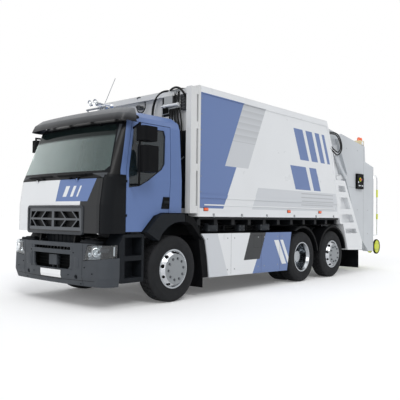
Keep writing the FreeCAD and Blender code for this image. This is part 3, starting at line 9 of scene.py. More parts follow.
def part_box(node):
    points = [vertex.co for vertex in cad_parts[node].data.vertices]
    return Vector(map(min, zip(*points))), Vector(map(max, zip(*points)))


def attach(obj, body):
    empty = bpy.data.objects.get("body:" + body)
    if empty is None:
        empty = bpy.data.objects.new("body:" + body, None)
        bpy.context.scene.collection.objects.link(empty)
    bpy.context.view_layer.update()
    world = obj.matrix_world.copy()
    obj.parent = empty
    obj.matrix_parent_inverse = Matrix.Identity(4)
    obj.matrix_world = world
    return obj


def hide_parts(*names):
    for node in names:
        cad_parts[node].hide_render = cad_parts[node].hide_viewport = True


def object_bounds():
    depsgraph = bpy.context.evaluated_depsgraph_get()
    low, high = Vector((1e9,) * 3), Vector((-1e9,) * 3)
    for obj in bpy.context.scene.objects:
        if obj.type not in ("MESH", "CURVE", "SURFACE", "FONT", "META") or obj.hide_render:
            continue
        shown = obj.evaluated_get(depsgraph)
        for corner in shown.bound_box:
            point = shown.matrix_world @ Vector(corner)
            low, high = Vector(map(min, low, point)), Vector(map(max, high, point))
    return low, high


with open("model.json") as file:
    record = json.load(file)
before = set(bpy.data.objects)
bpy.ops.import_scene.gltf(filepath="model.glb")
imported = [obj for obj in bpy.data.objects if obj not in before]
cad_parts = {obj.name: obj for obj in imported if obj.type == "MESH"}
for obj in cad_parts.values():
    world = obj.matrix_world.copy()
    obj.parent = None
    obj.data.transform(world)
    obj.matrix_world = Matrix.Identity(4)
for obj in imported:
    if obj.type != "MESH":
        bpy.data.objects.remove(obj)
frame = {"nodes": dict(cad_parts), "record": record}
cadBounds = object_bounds()
cadNodes = frame["nodes"]
scene = bpy.context.scene
scene.view_settings.view_transform = "Standard"
bodyOfNode = {n: b for b, members in frame["record"]["behaviour"]["bodies"].items() for n in members}


def middle(node):
    low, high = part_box(node)
    return (low + high) / 2


frontX = middle("front_tyre_left").x
driveX = middle("drive_tyres_left").x
tagX = middle("tag_tyre_left").x
wheelZ = middle("front_tyre_left").z
sides = (("Left", 1), ("Right", -1))


def ahead(distance):  # x of a place measured from the front axle
    return frontX + distance


# Camera, at the photograph's place
photoCamera = {
    "place": (9.514, 7.198, 1.368),
    "yaw": 221.16,
    "pitch": 1.69,
    "roll": 0.71,
    "lens": 49.31,
    "shift": (0.00014, -0.0023),
}


def makeCamera(given):
    data = bpy.data.cameras.new("photoCamera")
    data.lens = given["lens"]
    data.sensor_width = 36
    data.sensor_fit = "HORIZONTAL"
    data.shift_x, data.shift_y = given["shift"]
    data.clip_end = 200
    camera = bpy.data.objects.new("photoCamera", data)
    scene.collection.objects.link(camera)
    yaw, pitch = math.radians(given["yaw"]), math.radians(given["pitch"])
    forward = Vector((math.cos(yaw) * math.cos(pitch), math.sin(yaw) * math.cos(pitch), math.sin(pitch)))
    turn = forward.to_track_quat("-Z", "Y").to_matrix() @ Matrix.Rotation(math.radians(given["roll"]), 3, "Z")
    camera.matrix_world = Matrix.Translation(given["place"]) @ turn.to_4x4()
    scene.camera = camera


makeCamera(photoCamera)
print("camera placed")


# Node helpers
def linear(red, green, blue):  # a paint colour given in 0 to 255
    return tuple(((c / 255 + 0.055) / 1.055) ** 2.4 if c > 10 else c / 255 / 12.92 for c in (red, green, blue))


def newMaterial(name, colour, roughness=0.5, metallic=0.0, **sockets):
    material = bpy.data.materials.new(name)
    material.use_nodes = True
    shader = shaderOf(material)
    shader.inputs["Base Color"].default_value = (*linear(*colour), 1)
    shader.inputs["Roughness"].default_value = roughness
    shader.inputs["Metallic"].default_value = metallic
    for socket, value in sockets.items():
        shader.inputs[socket.replace("_", " ")].default_value = value
    return material


def shaderOf(material):
    return material.node_tree.nodes["Principled BSDF"]


def put(material, socket, value):  # a socket takes a link or a plain value
    if isinstance(value, bpy.types.NodeSocket):
        material.node_tree.links.new(value, socket)
    elif isinstance(value, tuple) and len(value) == 3 and socket.type == "RGBA":
        socket.default_value = (*value, 1)
    else:
        socket.default_value = value


def addNode(material, kind, inputs=None, **settings):
    node = material.node_tree.nodes.new(kind)
    for name, value in settings.items():
        setattr(node, name, value)
    for name, value in (inputs or {}).items():
        put(material, node.inputs[name], value)
    return node


def calculate(material, operation, first, second=0.0):
    return addNode(material, "ShaderNodeMath", {0: first, 1: second}, operation=operation).outputs[0]


def multiply(material, first, second):
    return calculate(material, "MULTIPLY", first, second)


def mixColours(material, factor, first, second):
    node = addNode(material, "ShaderNodeMix", data_type="RGBA")
    put(material, node.inputs[0], factor)
    put(material, node.inputs[6], first)
    put(material, node.inputs[7], second)
    return node.outputs[2]


def objectPlace(material):
    return addNode(material, "ShaderNodeTexCoord").outputs["Object"]


def objectAxis(material, axis):
    return addNode(material, "ShaderNodeSeparateXYZ", {0: objectPlace(material)}).outputs[axis]


def noise(material, scale, detail=4.0):
    inputs = {"Vector": objectPlace(material), "Scale": scale, "Detail": detail}
    return addNode(material, "ShaderNodeTexNoise", inputs).outputs["Fac"]


def spread(material, value, low, high, start=0.3, end=0.7):
    inputs = {"Value": value, "From Min": start, "From Max": end, "To Min": low, "To Max": high}
    return addNode(material, "ShaderNodeMapRange", inputs).outputs[0]


def addBump(material, height, strength, distance):
    bump = addNode(material, "ShaderNodeBump", {"Height": height, "Strength": strength, "Distance": distance})
    put(material, shaderOf(material).inputs["Normal"], bump.outputs["Normal"])


def shade(colour, amount):
    return tuple(max(0.0, min(1.0, c * amount)) for c in linear(*colour))


def vary(material, colour, variation, scale, detail=3.0):  # one paint, a little lighter and darker in places
    fac = spread(material, noise(material, scale, detail), 0.0, 1.0)
    return mixColours(material, fac, shade(colour, 1 - variation), shade(colour, 1 + variation))


def setColour(material, colour):
    put(material, shaderOf(material).inputs["Base Color"], colour)


def setRoughness(material, value):
    put(material, shaderOf(material).inputs["Roughness"], value)


def areaMask(material, points, first="X", second="Z"):  # 1 inside a convex outline on two axes of the object
    place = objectPlace(material)
    doubled = sum(a[0] * b[1] - b[0] * a[1] for a, b in zip(points, points[1:] + points[:1]))
    if doubled > 0:
        points = points[::-1]
    mask = None
    for (x0, z0), (x1, z1) in zip(points, points[1:] + points[:1]):
        weights = {"X": 0.0, "Y": 0.0, "Z": 0.0}
        weights[first] = z1 - z0
        weights[second] = -(x1 - x0)
        dot = addNode(material, "ShaderNodeVectorMath", {0: place, 1: tuple(weights.values())}, operation="DOT_PRODUCT")
        side = calculate(material, "GREATER_THAN", dot.outputs["Value"], weights[first] * x0 + weights[second] * z0)
        mask = multiply(material, mask, side) if mask else side
    return mask


def aheadOutline(points):
    return [(ahead(x), z) for x, z in points]


def paintOver(material, base, layers):  # areas of other colours on a paint, first to last
    colour = base
    for outline, layer, *axes in layers:
        colour = mixColours(material, areaMask(material, outline, *axes), colour, layer)
    return colour


def heightShade(material, low, high, dark, light):  # painted shade: darker below, lighter above
    return mixColours(material, spread(material, objectAxis(material, "Z"), 0.0, 1.0, low, high), dark, light)


def nearMiddle(material, half):  # 1 where a point is nearer to the middle plane than half
    return calculate(material, "LESS_THAN", calculate(material, "ABSOLUTE", objectAxis(material, "Y")), half)


# Paints and finishes
paint = {
    "blue": (96, 118, 164),
    "white": (219, 221, 223),
    "paleGrey": (198, 201, 205),
    "tailGrey": (190, 194, 198),
    "black": (20, 22, 25),
    "trimGrey": (60, 64, 69),
    "lining": (62, 65, 69),
    "glassGreen": (150, 166, 163),
    "amber": (232, 92, 30),
    "lime": (205, 214, 40),
}


def makePaint(name, colour, variation=0.04, roughness=0.32, coat=0.12, specular=0.35):
    material = newMaterial(name, colour, roughness, 0.0, Coat_Weight=coat, Coat_Roughness=0.08)
    shaderOf(material).inputs["Specular IOR Level"].default_value = specular
    setColour(material, vary(material, colour, variation, 1.3))
    setRoughness(material, spread(material, noise(material, 3.5, 5), roughness - 0.05, roughness + 0.09))
    addBump(material, noise(material, 60, 2), 0.02, 0.002)
    return material


def makePlastic(name, colour, roughness=0.55, grain=420.0, depth=0.12, specular=0.25):
    material = newMaterial(name, colour, roughness)
    shaderOf(material).inputs["Specular IOR Level"].default_value = specular
    setColour(material, vary(material, colour, 0.07, 5))
    setRoughness(material, spread(material, noise(material, 9, 4), roughness - 0.06, roughness + 0.08))
    addBump(material, noise(material, grain, 2), depth, 0.0006)
    return material


def makeMetal(name, colour, roughness):
    material = newMaterial(name, colour, roughness, 1.0)
    setColour(material, vary(material, colour, 0.06, 3))
    setRoughness(material, spread(material, noise(material, 60, 3), roughness - 0.07, roughness + 0.1))
    addBump(material, noise(material, 240, 2), 0.03, 0.0005)
    return material


def makeRubber(name, colour, roughness):
    material = newMaterial(name, colour, roughness)
    shaderOf(material).inputs["Specular IOR Level"].default_value = 0.2
    setColour(material, vary(material, colour, 0.16, 7))
    setRoughness(material, spread(material, noise(material, 14, 5), roughness - 0.08, roughness + 0.08))
    addBump(material, noise(material, 260, 3), 0.18, 0.0008)
    return material


def makeGlass(name, colour):
    material = newMaterial(name, colour, 0.02, 0.0, Transmission_Weight=1.0, IOR=1.45)
    setRoughness(material, spread(material, noise(material, 2.0, 2), 0.02, 0.05))
    return material


def makeLens(name, colour, roughness, coat, variation, scale):  # coloured plastic that light comes through
    material = newMaterial(name, colour, roughness, 0.0, Coat_Weight=coat)
    setColour(material, vary(material, colour, variation, scale))
    return material


whitePaint = makePaint("whitePaint", paint["white"], 0.025)
greyPaint = makePaint("greyPaint", paint["tailGrey"], 0.03, 0.4, 0.08)
blackGloss = makePaint("blackGloss", (15, 17, 20), 0.1, 0.4, 0.0, 0.10)
chassisPaint = makePaint("chassisPaint", (22, 24, 27), 0.15, 0.5, 0.0, 0.15)
trimPlastic = makePlastic("trimPlastic", paint["trimGrey"])
darkPlastic = makePlastic("darkPlastic", (26, 29, 33), 0.5, 420.0, 0.12, 0.10)
blackPlastic = makePlastic("blackPlastic", (13, 14, 16), 0.5, 420.0, 0.08, 0.06)
pitchPlastic = makePlastic("pitchPlastic", (8, 9, 10), 0.6, 420.0, 0.05, 0.05)
tyreRubber = makeRubber("tyreRubber", (30, 31, 33), 0.78)
sealRubber = makeRubber("sealRubber", (15, 16, 17), 0.6)
nutMetal = makeMetal("nutMetal", (112, 115, 119), 0.2)
zincSteel = makeMetal("zincSteel", (150, 153, 156), 0.45)
chrome = makeMetal("chrome", (232, 234, 236), 0.09)
castIron = makeMetal("castIron", (92, 94, 97), 0.6)
amberLens = makeLens("amberLens", paint["amber"], 0.2, 0.6, 0.12, 40)
redLens = makeLens("redLens", (176, 18, 18), 0.2, 0.6, 0.12, 40)
whiteLens = makeLens("whiteLens", (222, 226, 230), 0.18, 0.4, 0.04, 60)
clearLens = makeGlass("clearLens", (236, 240, 242))
darkGlass = makeGlass("darkGlass", (66, 80, 86))
shaderOf(darkGlass).inputs["Transmission Weight"].default_value = 0.75
limePaint = makePaint("limePaint", paint["lime"], 0.06)
seatCloth = newMaterial("seatCloth", (52, 55, 60), 0.85, 0.0, Sheen_Weight=0.4)
setColour(seatCloth, vary(seatCloth, (52, 55, 60), 0.2, 30))
addBump(seatCloth, noise(seatCloth, 700, 2), 0.3, 0.0008)
batteryPaint = makePaint("batteryPaint", (30, 34, 39), 0.1, 0.45, 0.0, 0.15)
print("finishes made")


# Liveries, stripes and fields of paint, with a painted reflection on the windscreen and painted shade on the visor and
# the body's front wall
bodyLivery = {  # outlines on the body's side, from the front axle and up from the ground
    "blueTop": [(-0.45, 3.425), (-1.80, 3.425), (-1.265, 2.238), (-0.45, 2.238)],
    "blueLow": [(-0.45, 2.238), (-1.595, 2.238), (-1.227, 1.487), (-0.45, 1.487)],
    "greyField": [(-1.80, 3.425), (-2.504, 3.425), (-1.951, 2.238), (-1.265, 2.238)],
    "lineField": [(-1.80, 3.425), (-2.504, 3.425), (-2.165, 2.70), (-1.476, 2.70)],
    "lowField": [(-2.27, 1.90), (-5.45, 1.90), (-5.45, 1.487), (-2.08, 1.487)],
    "lineStep": 0.118,
    "highBars": {"low": 2.56, "top": 3.20, "slope": 0.45,
                 "bars": [(-3.80, 0.36), (-4.28, 0.27), (-4.67, 0.19), (-4.98, 0.12)]},
    "lowBars": {"low": 1.93, "top": 2.42, "slope": 0.45, "bars": [(-3.62, 0.62), (-4.38, 0.30)]},
    "stripeRows": [1.60, 1.68, 1.76, 1.84],
    "stripeWidth": 0.022,
    "stripeRun": (-3.85, -5.25),
}
skirtLivery = {
    "greyField": [(-0.5, 1.10), (-1.05, 1.10), (-1.40, 0.25), (-0.5, 0.25)],
    "blackField": [(-2.040, 1.10), (-2.552, 1.10), (-2.327, 0.56), (-1.825, 0.56)],
    "blueField": [(-2.53, 1.10), (-3.7, 1.10), (-3.7, 0.2), (-2.05, 0.2)],
    "whiteBars": {"low": 0.42, "top": 0.90, "slope": 0.594, "bars": [(-3.10, 0.16), (-3.32, 0.10)]},
}
flapLivery = {  # outlines on the front, across and up
    "blueField": [(0.113, 1.95), (0.96, 1.95), (0.792, 1.551), (0.046, 1.551)],
    "blackUpper": [(0.96, 1.95), (1.2, 1.95), (1.2, 1.0), (0.792, 1.551)],
    "blackLower": [(0.64, 1.551), (1.2, 1.551), (1.2, 1.0), (0.64, 1.0)],
    "stripes": {"low": 1.62, "top": 1.78, "slope": 0.40, "bars": [(0.30, 0.09), (0.45, 0.06), (0.57, 0.035)]},
    "grilleField": [(-0.715, 1.475), (0.715, 1.475), (0.715, 1.07), (-0.715, 1.07)],
}


def slantedBars(given):  # outlines of slanted bars, each given by its start and its width
    low, top = given["low"], given["top"]
    lean = given["slope"] * (top - low)
    return [[(x + lean, top), (x + lean - width, top), (x - width, low), (x, low)] for x, width in given["bars"]]


def makeBodyPaint(given):
    material = makePaint("bodyPaint", paint["white"], 0.02)
    blue, grey = linear(*paint["blue"]), linear(*paint["paleGrey"])
    line = shade(paint["paleGrey"], 0.72)
    layers = [(aheadOutline(given["lowField"]), grey)]
    start, end = given["stripeRun"]
    for z in given["stripeRows"]:
        top = z + given["stripeWidth"]
        layers.append((aheadOutline([(start, top), (end, top), (end, z), (start, z)]), line))
    for name in ("blueTop", "blueLow"):
        layers.append((aheadOutline(given[name]), blue))
    layers.append((aheadOutline(given["greyField"]), shade(paint["paleGrey"], 0.94)))
    for bar in slantedBars(given["highBars"]) + slantedBars(given["lowBars"]):
        layers.append((aheadOutline(bar), blue))
    colour = paintOver(material, vary(material, paint["white"], 0.02, 1.1), layers)
    rows = calculate(material, "FRACT", calculate(material, "DIVIDE", objectAxis(material, "Z"), given["lineStep"]))
    lines = multiply(material, rows, areaMask(material, aheadOutline(given["lineField"])))
    setColour(material, mixColours(material, multiply(material, lines, 0.75), colour, line))
    return material


def makeSkirtPaint(given):
    material = makePaint("skirtPaint", paint["white"], 0.02)
    blue, white = linear(*paint["blue"]), linear(*paint["white"])
    layers = [
        (aheadOutline(given["greyField"]), linear(*paint["paleGrey"])),
        (aheadOutline(given["blueField"]), blue),
    ]
    for bar in slantedBars(given["whiteBars"]):
        layers.append((aheadOutline(bar), white))
    layers.append((aheadOutline(given["blackField"]), linear(30, 33, 36)))
    setColour(material, paintOver(material, vary(material, paint["white"], 0.02, 1.1), layers))
    return material


def makeFlapPaint(given):
    material = makePaint("flapPaint", paint["white"], 0.02)
    blue, black, white = linear(*paint["blue"]), linear(*paint["black"]), linear(*paint["white"])
    layers = [
        (given["blackUpper"], black, "Y", "Z"),
        (given["blackLower"], black, "Y", "Z"),
        (given["blueField"], blue, "Y", "Z"),
        (given["grilleField"], black, "Y", "Z"),
    ]
    for bar in slantedBars(given["stripes"]):
        layers.append((bar, white, "Y", "Z"))
    setColour(material, paintOver(material, vary(material, paint["white"], 0.02, 1.1), layers))
    return material


cabLivery = {  # the cab is black forward of its front pillars, and lined inside
    "blackLow": [(1.065, 0.8), (1.6, 0.8), (1.6, 2.0), (1.065, 2.0)],
    "blackTop": [(1.065, 2.0), (1.6, 2.0), (1.6, 2.95), (0.85, 2.95)],
    "liningLow": [(-0.14, 1.18), (1.30, 1.18), (1.30, 2.0), (-0.14, 2.0)],
    "liningTop": [(-0.14, 2.0), (1.30, 2.0), (1.00, 2.70), (-0.14, 2.70)],
    "liningLowHalf": 1.082,
    "liningTopHalf": 1.050,
}
screenPaintAndReflection = {  # clear part of the windscreen, across and up, inside its black border
    "clear": [(-1.03, 1.995), (1.03, 1.995), (1.085, 2.06), (0.988, 2.66), (0.955, 2.700), (-0.955, 2.700),
              (-0.988, 2.66), (-1.085, 2.06)],
    "shadeBand": 2.53,
    "bandColour": (40, 52, 52),
    # light and dark are a painted reflection: the glass is painted lighter towards one side and darker towards the
    # other
    "light": (222, 234, 231),
    "dark": (118, 133, 131),
}


def makeCabPaint(given):
    material = makePaint("cabPaint", paint["blue"], 0.04, 0.4, 0.04, 0.2)
    layers = [(aheadOutline(given[name]), linear(7, 8, 10)) for name in ("blackLow", "blackTop")]
    colour = paintOver(material, vary(material, paint["blue"], 0.04, 1.3), layers)
    for name in ("liningLow", "liningTop"):
        inside = multiply(material, areaMask(material, aheadOutline(given[name])),
                           nearMiddle(material, given[name + "Half"]))
        colour = mixColours(material, inside, colour, linear(*paint["lining"]))
    setColour(material, colour)
    return material


def makeScreenGlass(given):
    material = makeGlass("screenGlass", paint["glassGreen"])
    shaderOf(material).inputs["IOR"].default_value = 1.22
    clear = areaMask(material, given["clear"], "Y", "Z")
    band = spread(material, objectAxis(material, "Z"), 1.0, 0.0, given["shadeBand"] - 0.02, given["shadeBand"] + 0.02)
    # painted reflection: a soft streaked ramp across the glass, from the light colour to the dark one
    paintedReflection = calculate(material, "ADD", objectAxis(material, "Y"), multiply(material, noise(material, 1.6, 3), 0.5))
    paintedReflection = spread(material, paintedReflection, 0.0, 1.0, -0.75, 1.05)
    glass = mixColours(material, paintedReflection, linear(*given["light"]), linear(*given["dark"]))
    tint = mixColours(material, band, linear(*given["bandColour"]), glass)
    setColour(material, mixColours(material, clear, linear(*paint["black"]), tint))
    put(material, shaderOf(material).inputs["Transmission Weight"], multiply(material, clear, 0.62))
    return material


roofLivery = {"blackEdge": [(0.86, 2.70), (1.10, 2.70), (1.10, 2.85), (0.90, 2.85)]}


def makeRoofPaint(given):
    material = makePaint("roofPaint", paint["blue"])
    layers = [(aheadOutline(given["blackEdge"]), linear(*paint["black"]))]
    setColour(material, paintOver(material, vary(material, paint["blue"], 0.04, 1.3), layers))
    return material


def makeRimMetal(given):  # polished, with a grey face round the nuts
    material = makeMetal("rimMetal", given["polished"], 0.2)
    across = calculate(material, "ABSOLUTE", objectAxis(material, "Y"))
    face = calculate(material, "GREATER_THAN", across, given["faceY"])
    setColour(material, mixColours(material, face, vary(material, given["polished"], 0.06, 3), shade(given["face"], 1)))
    return material


def makeFrontWallPaint(given):  # painted shade: dark behind the cab, where shade falls between cab and body and dark gear stands, light above it
    material = makePaint("frontWallPaint", given["wall"], 0.03)
    dark = areaMask(material, aheadOutline(given["dark"]))
    dark = multiply(material, dark, nearMiddle(material, given["shadeHalf"]))
    wall = vary(material, given["wall"], 0.03, 1.3)
    setColour(material, mixColours(material, dark, wall, linear(*given["shadeColour"])))
    return material


frontWallShadeGiven = {
    "wall": (206, 207, 207),
    # the dark field is painted shade behind the cab
    "dark": [(-0.70, 2.80), (-0.44, 2.80), (-0.44, 1.2), (-0.70, 1.2)],
    "shadeHalf": 1.02,
    # the colour of the painted shade
    "shadeColour": (33, 36, 40),
}
rimLivery = {"polished": (168, 172, 176), "face": (132, 136, 140), "faceY": 1.238}
cabPaint = makeCabPaint(cabLivery)
frontWallPaint = makeFrontWallPaint(frontWallShadeGiven)
roofPaint = makeRoofPaint(roofLivery)
rimMetal = makeRimMetal(rimLivery)
screenGlass = makeScreenGlass(screenPaintAndReflection)
visorPlastic = makePaint("visorPlastic", (60, 62, 65), 0.06, 0.4, 0.05, 0.2)
# the visor is painted shade: darker towards its bottom, lighter towards its top
setColour(visorPlastic, heightShade(visorPlastic, 2.77, 2.93, shade((24, 25, 28), 1), shade((112, 114, 117), 1)))
bodyPaint = makeBodyPaint(bodyLivery)
skirtPaint = makeSkirtPaint(skirtLivery)
flapPaint = makeFlapPaint(flapLivery)


# CAD nodes and what they are finished in
finishes = {
    "door_left": cabPaint, "door_right": cabPaint,
    "door_glass_left": darkGlass, "door_glass_right": darkGlass,
    "cab_shell": cabPaint, "cab_roof": roofPaint, "windscreen": screenGlass, "corner_panels": blackGloss,
    "front_flap": flapPaint, "front_grille": trimPlastic, "sun_visor": visorPlastic, "arch_flares": darkPlastic,
    "dashboard": blackPlastic, "seats": seatCloth, "mirrors_left": blackPlastic, "mirrors_right": blackPlastic,
    "front_tyre_left": tyreRubber, "front_tyre_right": tyreRubber, "tag_tyre_left": tyreRubber,
    "tag_tyre_right": tyreRubber, "drive_tyres_left": tyreRubber, "drive_tyres_right": tyreRubber,
    "front_rim_left": rimMetal, "front_rim_right": rimMetal, "tag_rim_left": rimMetal,
    "tag_rim_right": rimMetal, "drive_rims_left": rimMetal, "drive_rims_right": rimMetal,
    "chassis_frame": chassisPaint, "axles": castIron, "suspension": chassisPaint,
    "front_knuckle_left": castIron, "front_knuckle_right": castIron, "tag_knuckle_left": castIron,
    "tag_knuckle_right": castIron, "battery_packs": batteryPaint, "drive_units": castIron,
    "front_bumper": trimPlastic, "headlamps": clearLens, "cab_steps": darkPlastic, "mudguards": blackPlastic,
    "side_skirts": skirtPaint, "body_sides": bodyPaint, "body_roof": whitePaint, "body_floor": chassisPaint,
    "body_front_frame": frontWallPaint, "body_hydraulics": zincSteel, "body_rear_frame": whitePaint,
    "tailgate_sides": greyPaint, "tailgate_cover": greyPaint, "hopper_trough": greyPaint,
    "carrier_plate": zincSteel, "packer_plate": zincSteel, "bin_lifter": limePaint,
    "safety_rails": chrome, "rear_lamps": redLens, "lift_cylinder_barrels": greyPaint,
    "lift_cylinder_rods": chrome, "ejector_plate": zincSteel,
}
for nodeName, finish in finishes.items():
    cadNodes[nodeName].data.materials.clear()
    cadNodes[nodeName].data.materials.append(finish)
print("frame painted")


# Mesh helpers
def newPiece(name, bm, finish, body, sharp=0.6):
    mesh = bpy.data.meshes.new(name)
    bm.to_mesh(mesh)
    bm.free()
    piece = bpy.data.objects.new(name, mesh)
    scene.collection.objects.link(piece)
    for material in finish if isinstance(finish, list) else [finish]:
        mesh.materials.append(material)
    mesh.shade_smooth()
    mesh.set_sharp_from_angle(angle=sharp)
    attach(piece, body)
    return piece


def madeOf(geometry, kind):
    return [item for item in geometry if isinstance(item, kind)]


def facesOf(verts):  # each once, in an order that every run repeats
    return list(dict.fromkeys(f for v in verts for f in v.link_faces))


def edgesOf(faces):
    return list(dict.fromkeys(e for f in faces for e in f.edges))


def roundEdges(bm, edges, radius):
    bmesh.ops.bevel(bm, geom=edges, offset=radius, segments=2, affect="EDGES", profile=0.5, material=-1)


def addBox(bm, low, high, bevel=0.0, material=0):
    low, high = Vector(low), Vector(high)
    size = Matrix.Diagonal((*[abs(s) for s in high - low], 1))
    made = bmesh.ops.create_cube(bm, size=1, matrix=Matrix.Translation((low + high) / 2) @ size)["verts"]
    for face in facesOf(made):
        face.material_index = material
    if bevel:
        roundEdges(bm, edgesOf(facesOf(made)), bevel)
    return made


def addBlock(bm, low, high, bevel=0.0, material=0, side=1):  # a box placed from the front axle, on either side
    low, high = [(ahead(x), side * y, z) for x, y, z in (low, high)]
    return addBox(bm, low, high, bevel, material)


def addRod(bm, start, end, radius, sides=16, topRadius=None, material=0):
    start, end = Vector(start), Vector(end)
    along = end - start
    place = Matrix.Translation((start + end) / 2) @ along.to_track_quat("Z", "Y").to_matrix().to_4x4()
    top = radius if topRadius is None else topRadius
    made = bmesh.ops.create_cone(
        bm, cap_ends=True, segments=sides, radius1=radius, radius2=top, depth=along.length, matrix=place
    )["verts"]
    for face in facesOf(made):
        face.material_index = material


def addLathe(bm, profile, centre, steps=48, axis=(0, 1, 0), out=(0, 0, 1), material=0):
    axis, out = Vector(axis), Vector(out)
    verts = [bm.verts.new(Vector(centre) + out * radius + axis * offset) for radius, offset in profile]
    edges = [bm.edges.new(pair) for pair in zip(verts, verts[1:])]
    bmesh.ops.spin(bm, geom=verts + edges, cent=centre, axis=axis, angle=math.tau, steps=steps, use_merge=True)
    faces, reached = facesOf(verts), 0
    while reached < len(faces):
        reached = len(faces)
        faces = facesOf(dict.fromkeys(v for f in faces for v in f.verts))
    for face in faces:
        face.material_index = material
    bmesh.ops.remove_doubles(bm, verts=list(dict.fromkeys(v for f in faces for v in f.verts)), dist=0.00005)
    bmesh.ops.recalc_face_normals(bm, faces=[f for f in faces if f.is_valid])


def scaled(profile, radius):  # a profile whose radii are parts of one radius, closed on its axis
    return [(max(0.0005, share * radius), offset) for share, offset in profile]


def addTube(bm, points, radius, sides=10, material=0, smooth=True):
    curve = bpy.data.curves.new("route", "CURVE")
    curve.dimensions = "3D"
    curve.bevel_depth = radius
    curve.bevel_resolution = max(1, sides // 4)
    curve.resolution_u = 8
    curve.use_fill_caps = True
    spline = curve.splines.new("NURBS" if smooth else "POLY")
    spline.points.add(len(points) - 1)
    for point, place in zip(spline.points, points):
        point.co = (*place, 1)
    if smooth:
        spline.order_u = 3
        spline.use_endpoint_u = True
    holder = bpy.data.objects.new("route", curve)
    mesh = bpy.data.meshes.new_from_object(holder)
    before = len(bm.faces)
    bm.from_mesh(mesh)
    bm.faces.ensure_lookup_table()
    for face in bm.faces[before:]:
        face.material_index = material
    bpy.data.objects.remove(holder)
    bpy.data.curves.remove(curve)
    bpy.data.meshes.remove(mesh)


def nodeMesh(node):  # a merged copy of a CAD node
    bm = bmesh.new()
    bm.from_mesh(cadNodes[node].data)
    bmesh.ops.remove_doubles(bm, verts=bm.verts, dist=0.00002)
    bmesh.ops.dissolve_limit(bm, angle_limit=0.002, verts=bm.verts, edges=bm.edges)
    return bm


# Tyres
tyreGiven = {
    "steps": 108,
    "halfWidth": 0.1475,
    "sipeEvery": 3,
    "sipeDepth": 0.008,
    "sidewall": [
        (0.2985, 0.118), (0.3000, 0.1285), (0.3080, 0.1365), (0.3190, 0.1395), (0.3270, 0.1365), (0.3420, 0.1420),
        (0.3840, 0.1475), (0.4280, 0.1468), (0.4330, 0.1475), (0.4400, 0.1460), (0.4680, 0.1408), (0.4900, 0.1345),
        (0.5030, 0.1270), (0.5120, 0.1180), (0.5170, 0.1080),
    ],
    "tread": [
        (0.5185, 0.1040), (0.5195, 0.0800), (0.5070, 0.0780), (0.5070, 0.0700), (0.5205, 0.0680), (0.5212, 0.0380),
        (0.5080, 0.0360), (0.5080, 0.0280), (0.5216, 0.0260), (0.5218, 0.0050), (0.5140, 0.0035),
    ],
    "ribs": [(0.104, 0.080), (0.068, 0.038), (0.026, 0.005)],
}


def addTyre(bm, given, x, outerY, side):
    middleY = outerY - given["halfWidth"]
    half = given["sidewall"] + given["tread"]
    profile = [(r, y) for r, y in half] + [(r, -y) for r, y in half[::-1]]
    profile.append(profile[0])
    centre = Vector((x, side * middleY, wheelZ))
    before = set(bm.faces)
    addLathe(bm, profile, centre, given["steps"])
    made = [f for f in bm.faces if f not in before]
    cut = []
    for face in made:
        place = face.calc_center_median() - centre
        radius = math.hypot(place.x, place.z)
        if radius < 0.512:
            continue
        turn = round(math.atan2(place.z, place.x) / math.tau * given["steps"] - 0.5)
        offset = abs(place.y)
        inRib = any(low < offset < high for high, low in given["ribs"])
        if inRib and (turn + (1 if place.y > 0 else 0)) % given["sipeEvery"] == 0:
            cut.append(face)
    bmesh.ops.inset_individual(bm, faces=cut, thickness=0.0045, depth=-given["sipeDepth"])


def makeTyres(given):
    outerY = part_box("front_tyre_left")[1].y
    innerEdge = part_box("drive_tyres_left")[0].y + 2 * given["halfWidth"]
    for name, x in (("front_tyre", frontX), ("tag_tyre", tagX), ("drive_tyres", driveX)):
        for sideName, side in sides:
            bm = bmesh.new()
            addTyre(bm, given, x, outerY, side)
            if name == "drive_tyres":
                addTyre(bm, given, x, innerEdge, side)
            node = f"{name}_{sideName.lower()}"
            piece = newPiece(f"{name}{sideName}Tread", bm, tyreRubber, bodyOfNode[node])
            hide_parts(node)


makeTyres(tyreGiven)
print("tyres made")


# Wheel nuts
nutGiven = {
    "count": 10,
    "circle": 0.1675,
    "phase": -6,
    "dishFace": 1.270,
    "driveFace": 0.906,
    "radius": 0.0165,
    "steps": (-0.004, 0.004, 0.020, 0.030),  # washer, nut and bolt end, out from the face
}


def around(count, phase):  # angles spaced evenly round an axle
    return [math.tau * index / count + math.radians(phase) for index in range(count)]


def radial(angle):
    return Vector((math.cos(angle), 0, math.sin(angle)))


def makeNuts(given):
    for name, x, face in (("front", frontX, "dishFace"), ("tag", tagX, "dishFace"), ("drive", driveX, "driveFace")):
        for sideName, side in sides:
            bm = bmesh.new()
            rim = f"{name}_{'rims' if name == 'drive' else 'rim'}_{sideName.lower()}"
            for angle in around(given["count"], given["phase"]):
                foot = Vector((x, side * given[face], wheelZ)) + radial(angle) * given["circle"]
                back, low, high, end = [foot + Vector((0, side * step, 0)) for step in given["steps"]]
                addRod(bm, back, low, given["radius"] * 1.35, 20)
                addRod(bm, low, high, given["radius"], 6)
                addRod(bm, high, end, given["radius"] * 0.8, 16, 0.006)
            newPiece(f"{name}Nuts{sideName}", bm, nutMetal, bodyOfNode[rim])


makeNuts(nutGiven)
print("wheel nuts made")


# Places on the CAD surfaces
surfaceTrees = {}


def touch(node, start, direction):  # where a line first meets a node's surface
    if node not in surfaceTrees:
        mesh = cadNodes[node].data
        corners = [v.co.copy() for v in mesh.vertices]
        surfaceTrees[node] = BVHTree.FromPolygons(corners, [tuple(p.vertices) for p in mesh.polygons])
    return surfaceTrees[node].ray_cast(Vector(start), Vector(direction).normalized())[:2]


def fromFront(node, y, z):
    return touch(node, (cadBounds[1].x + 1, y, z), (-1, 0, 0))


def fromSide(node, x, z, side=1):
    return touch(node, (x, side * 3, z), (0, -side, 0))


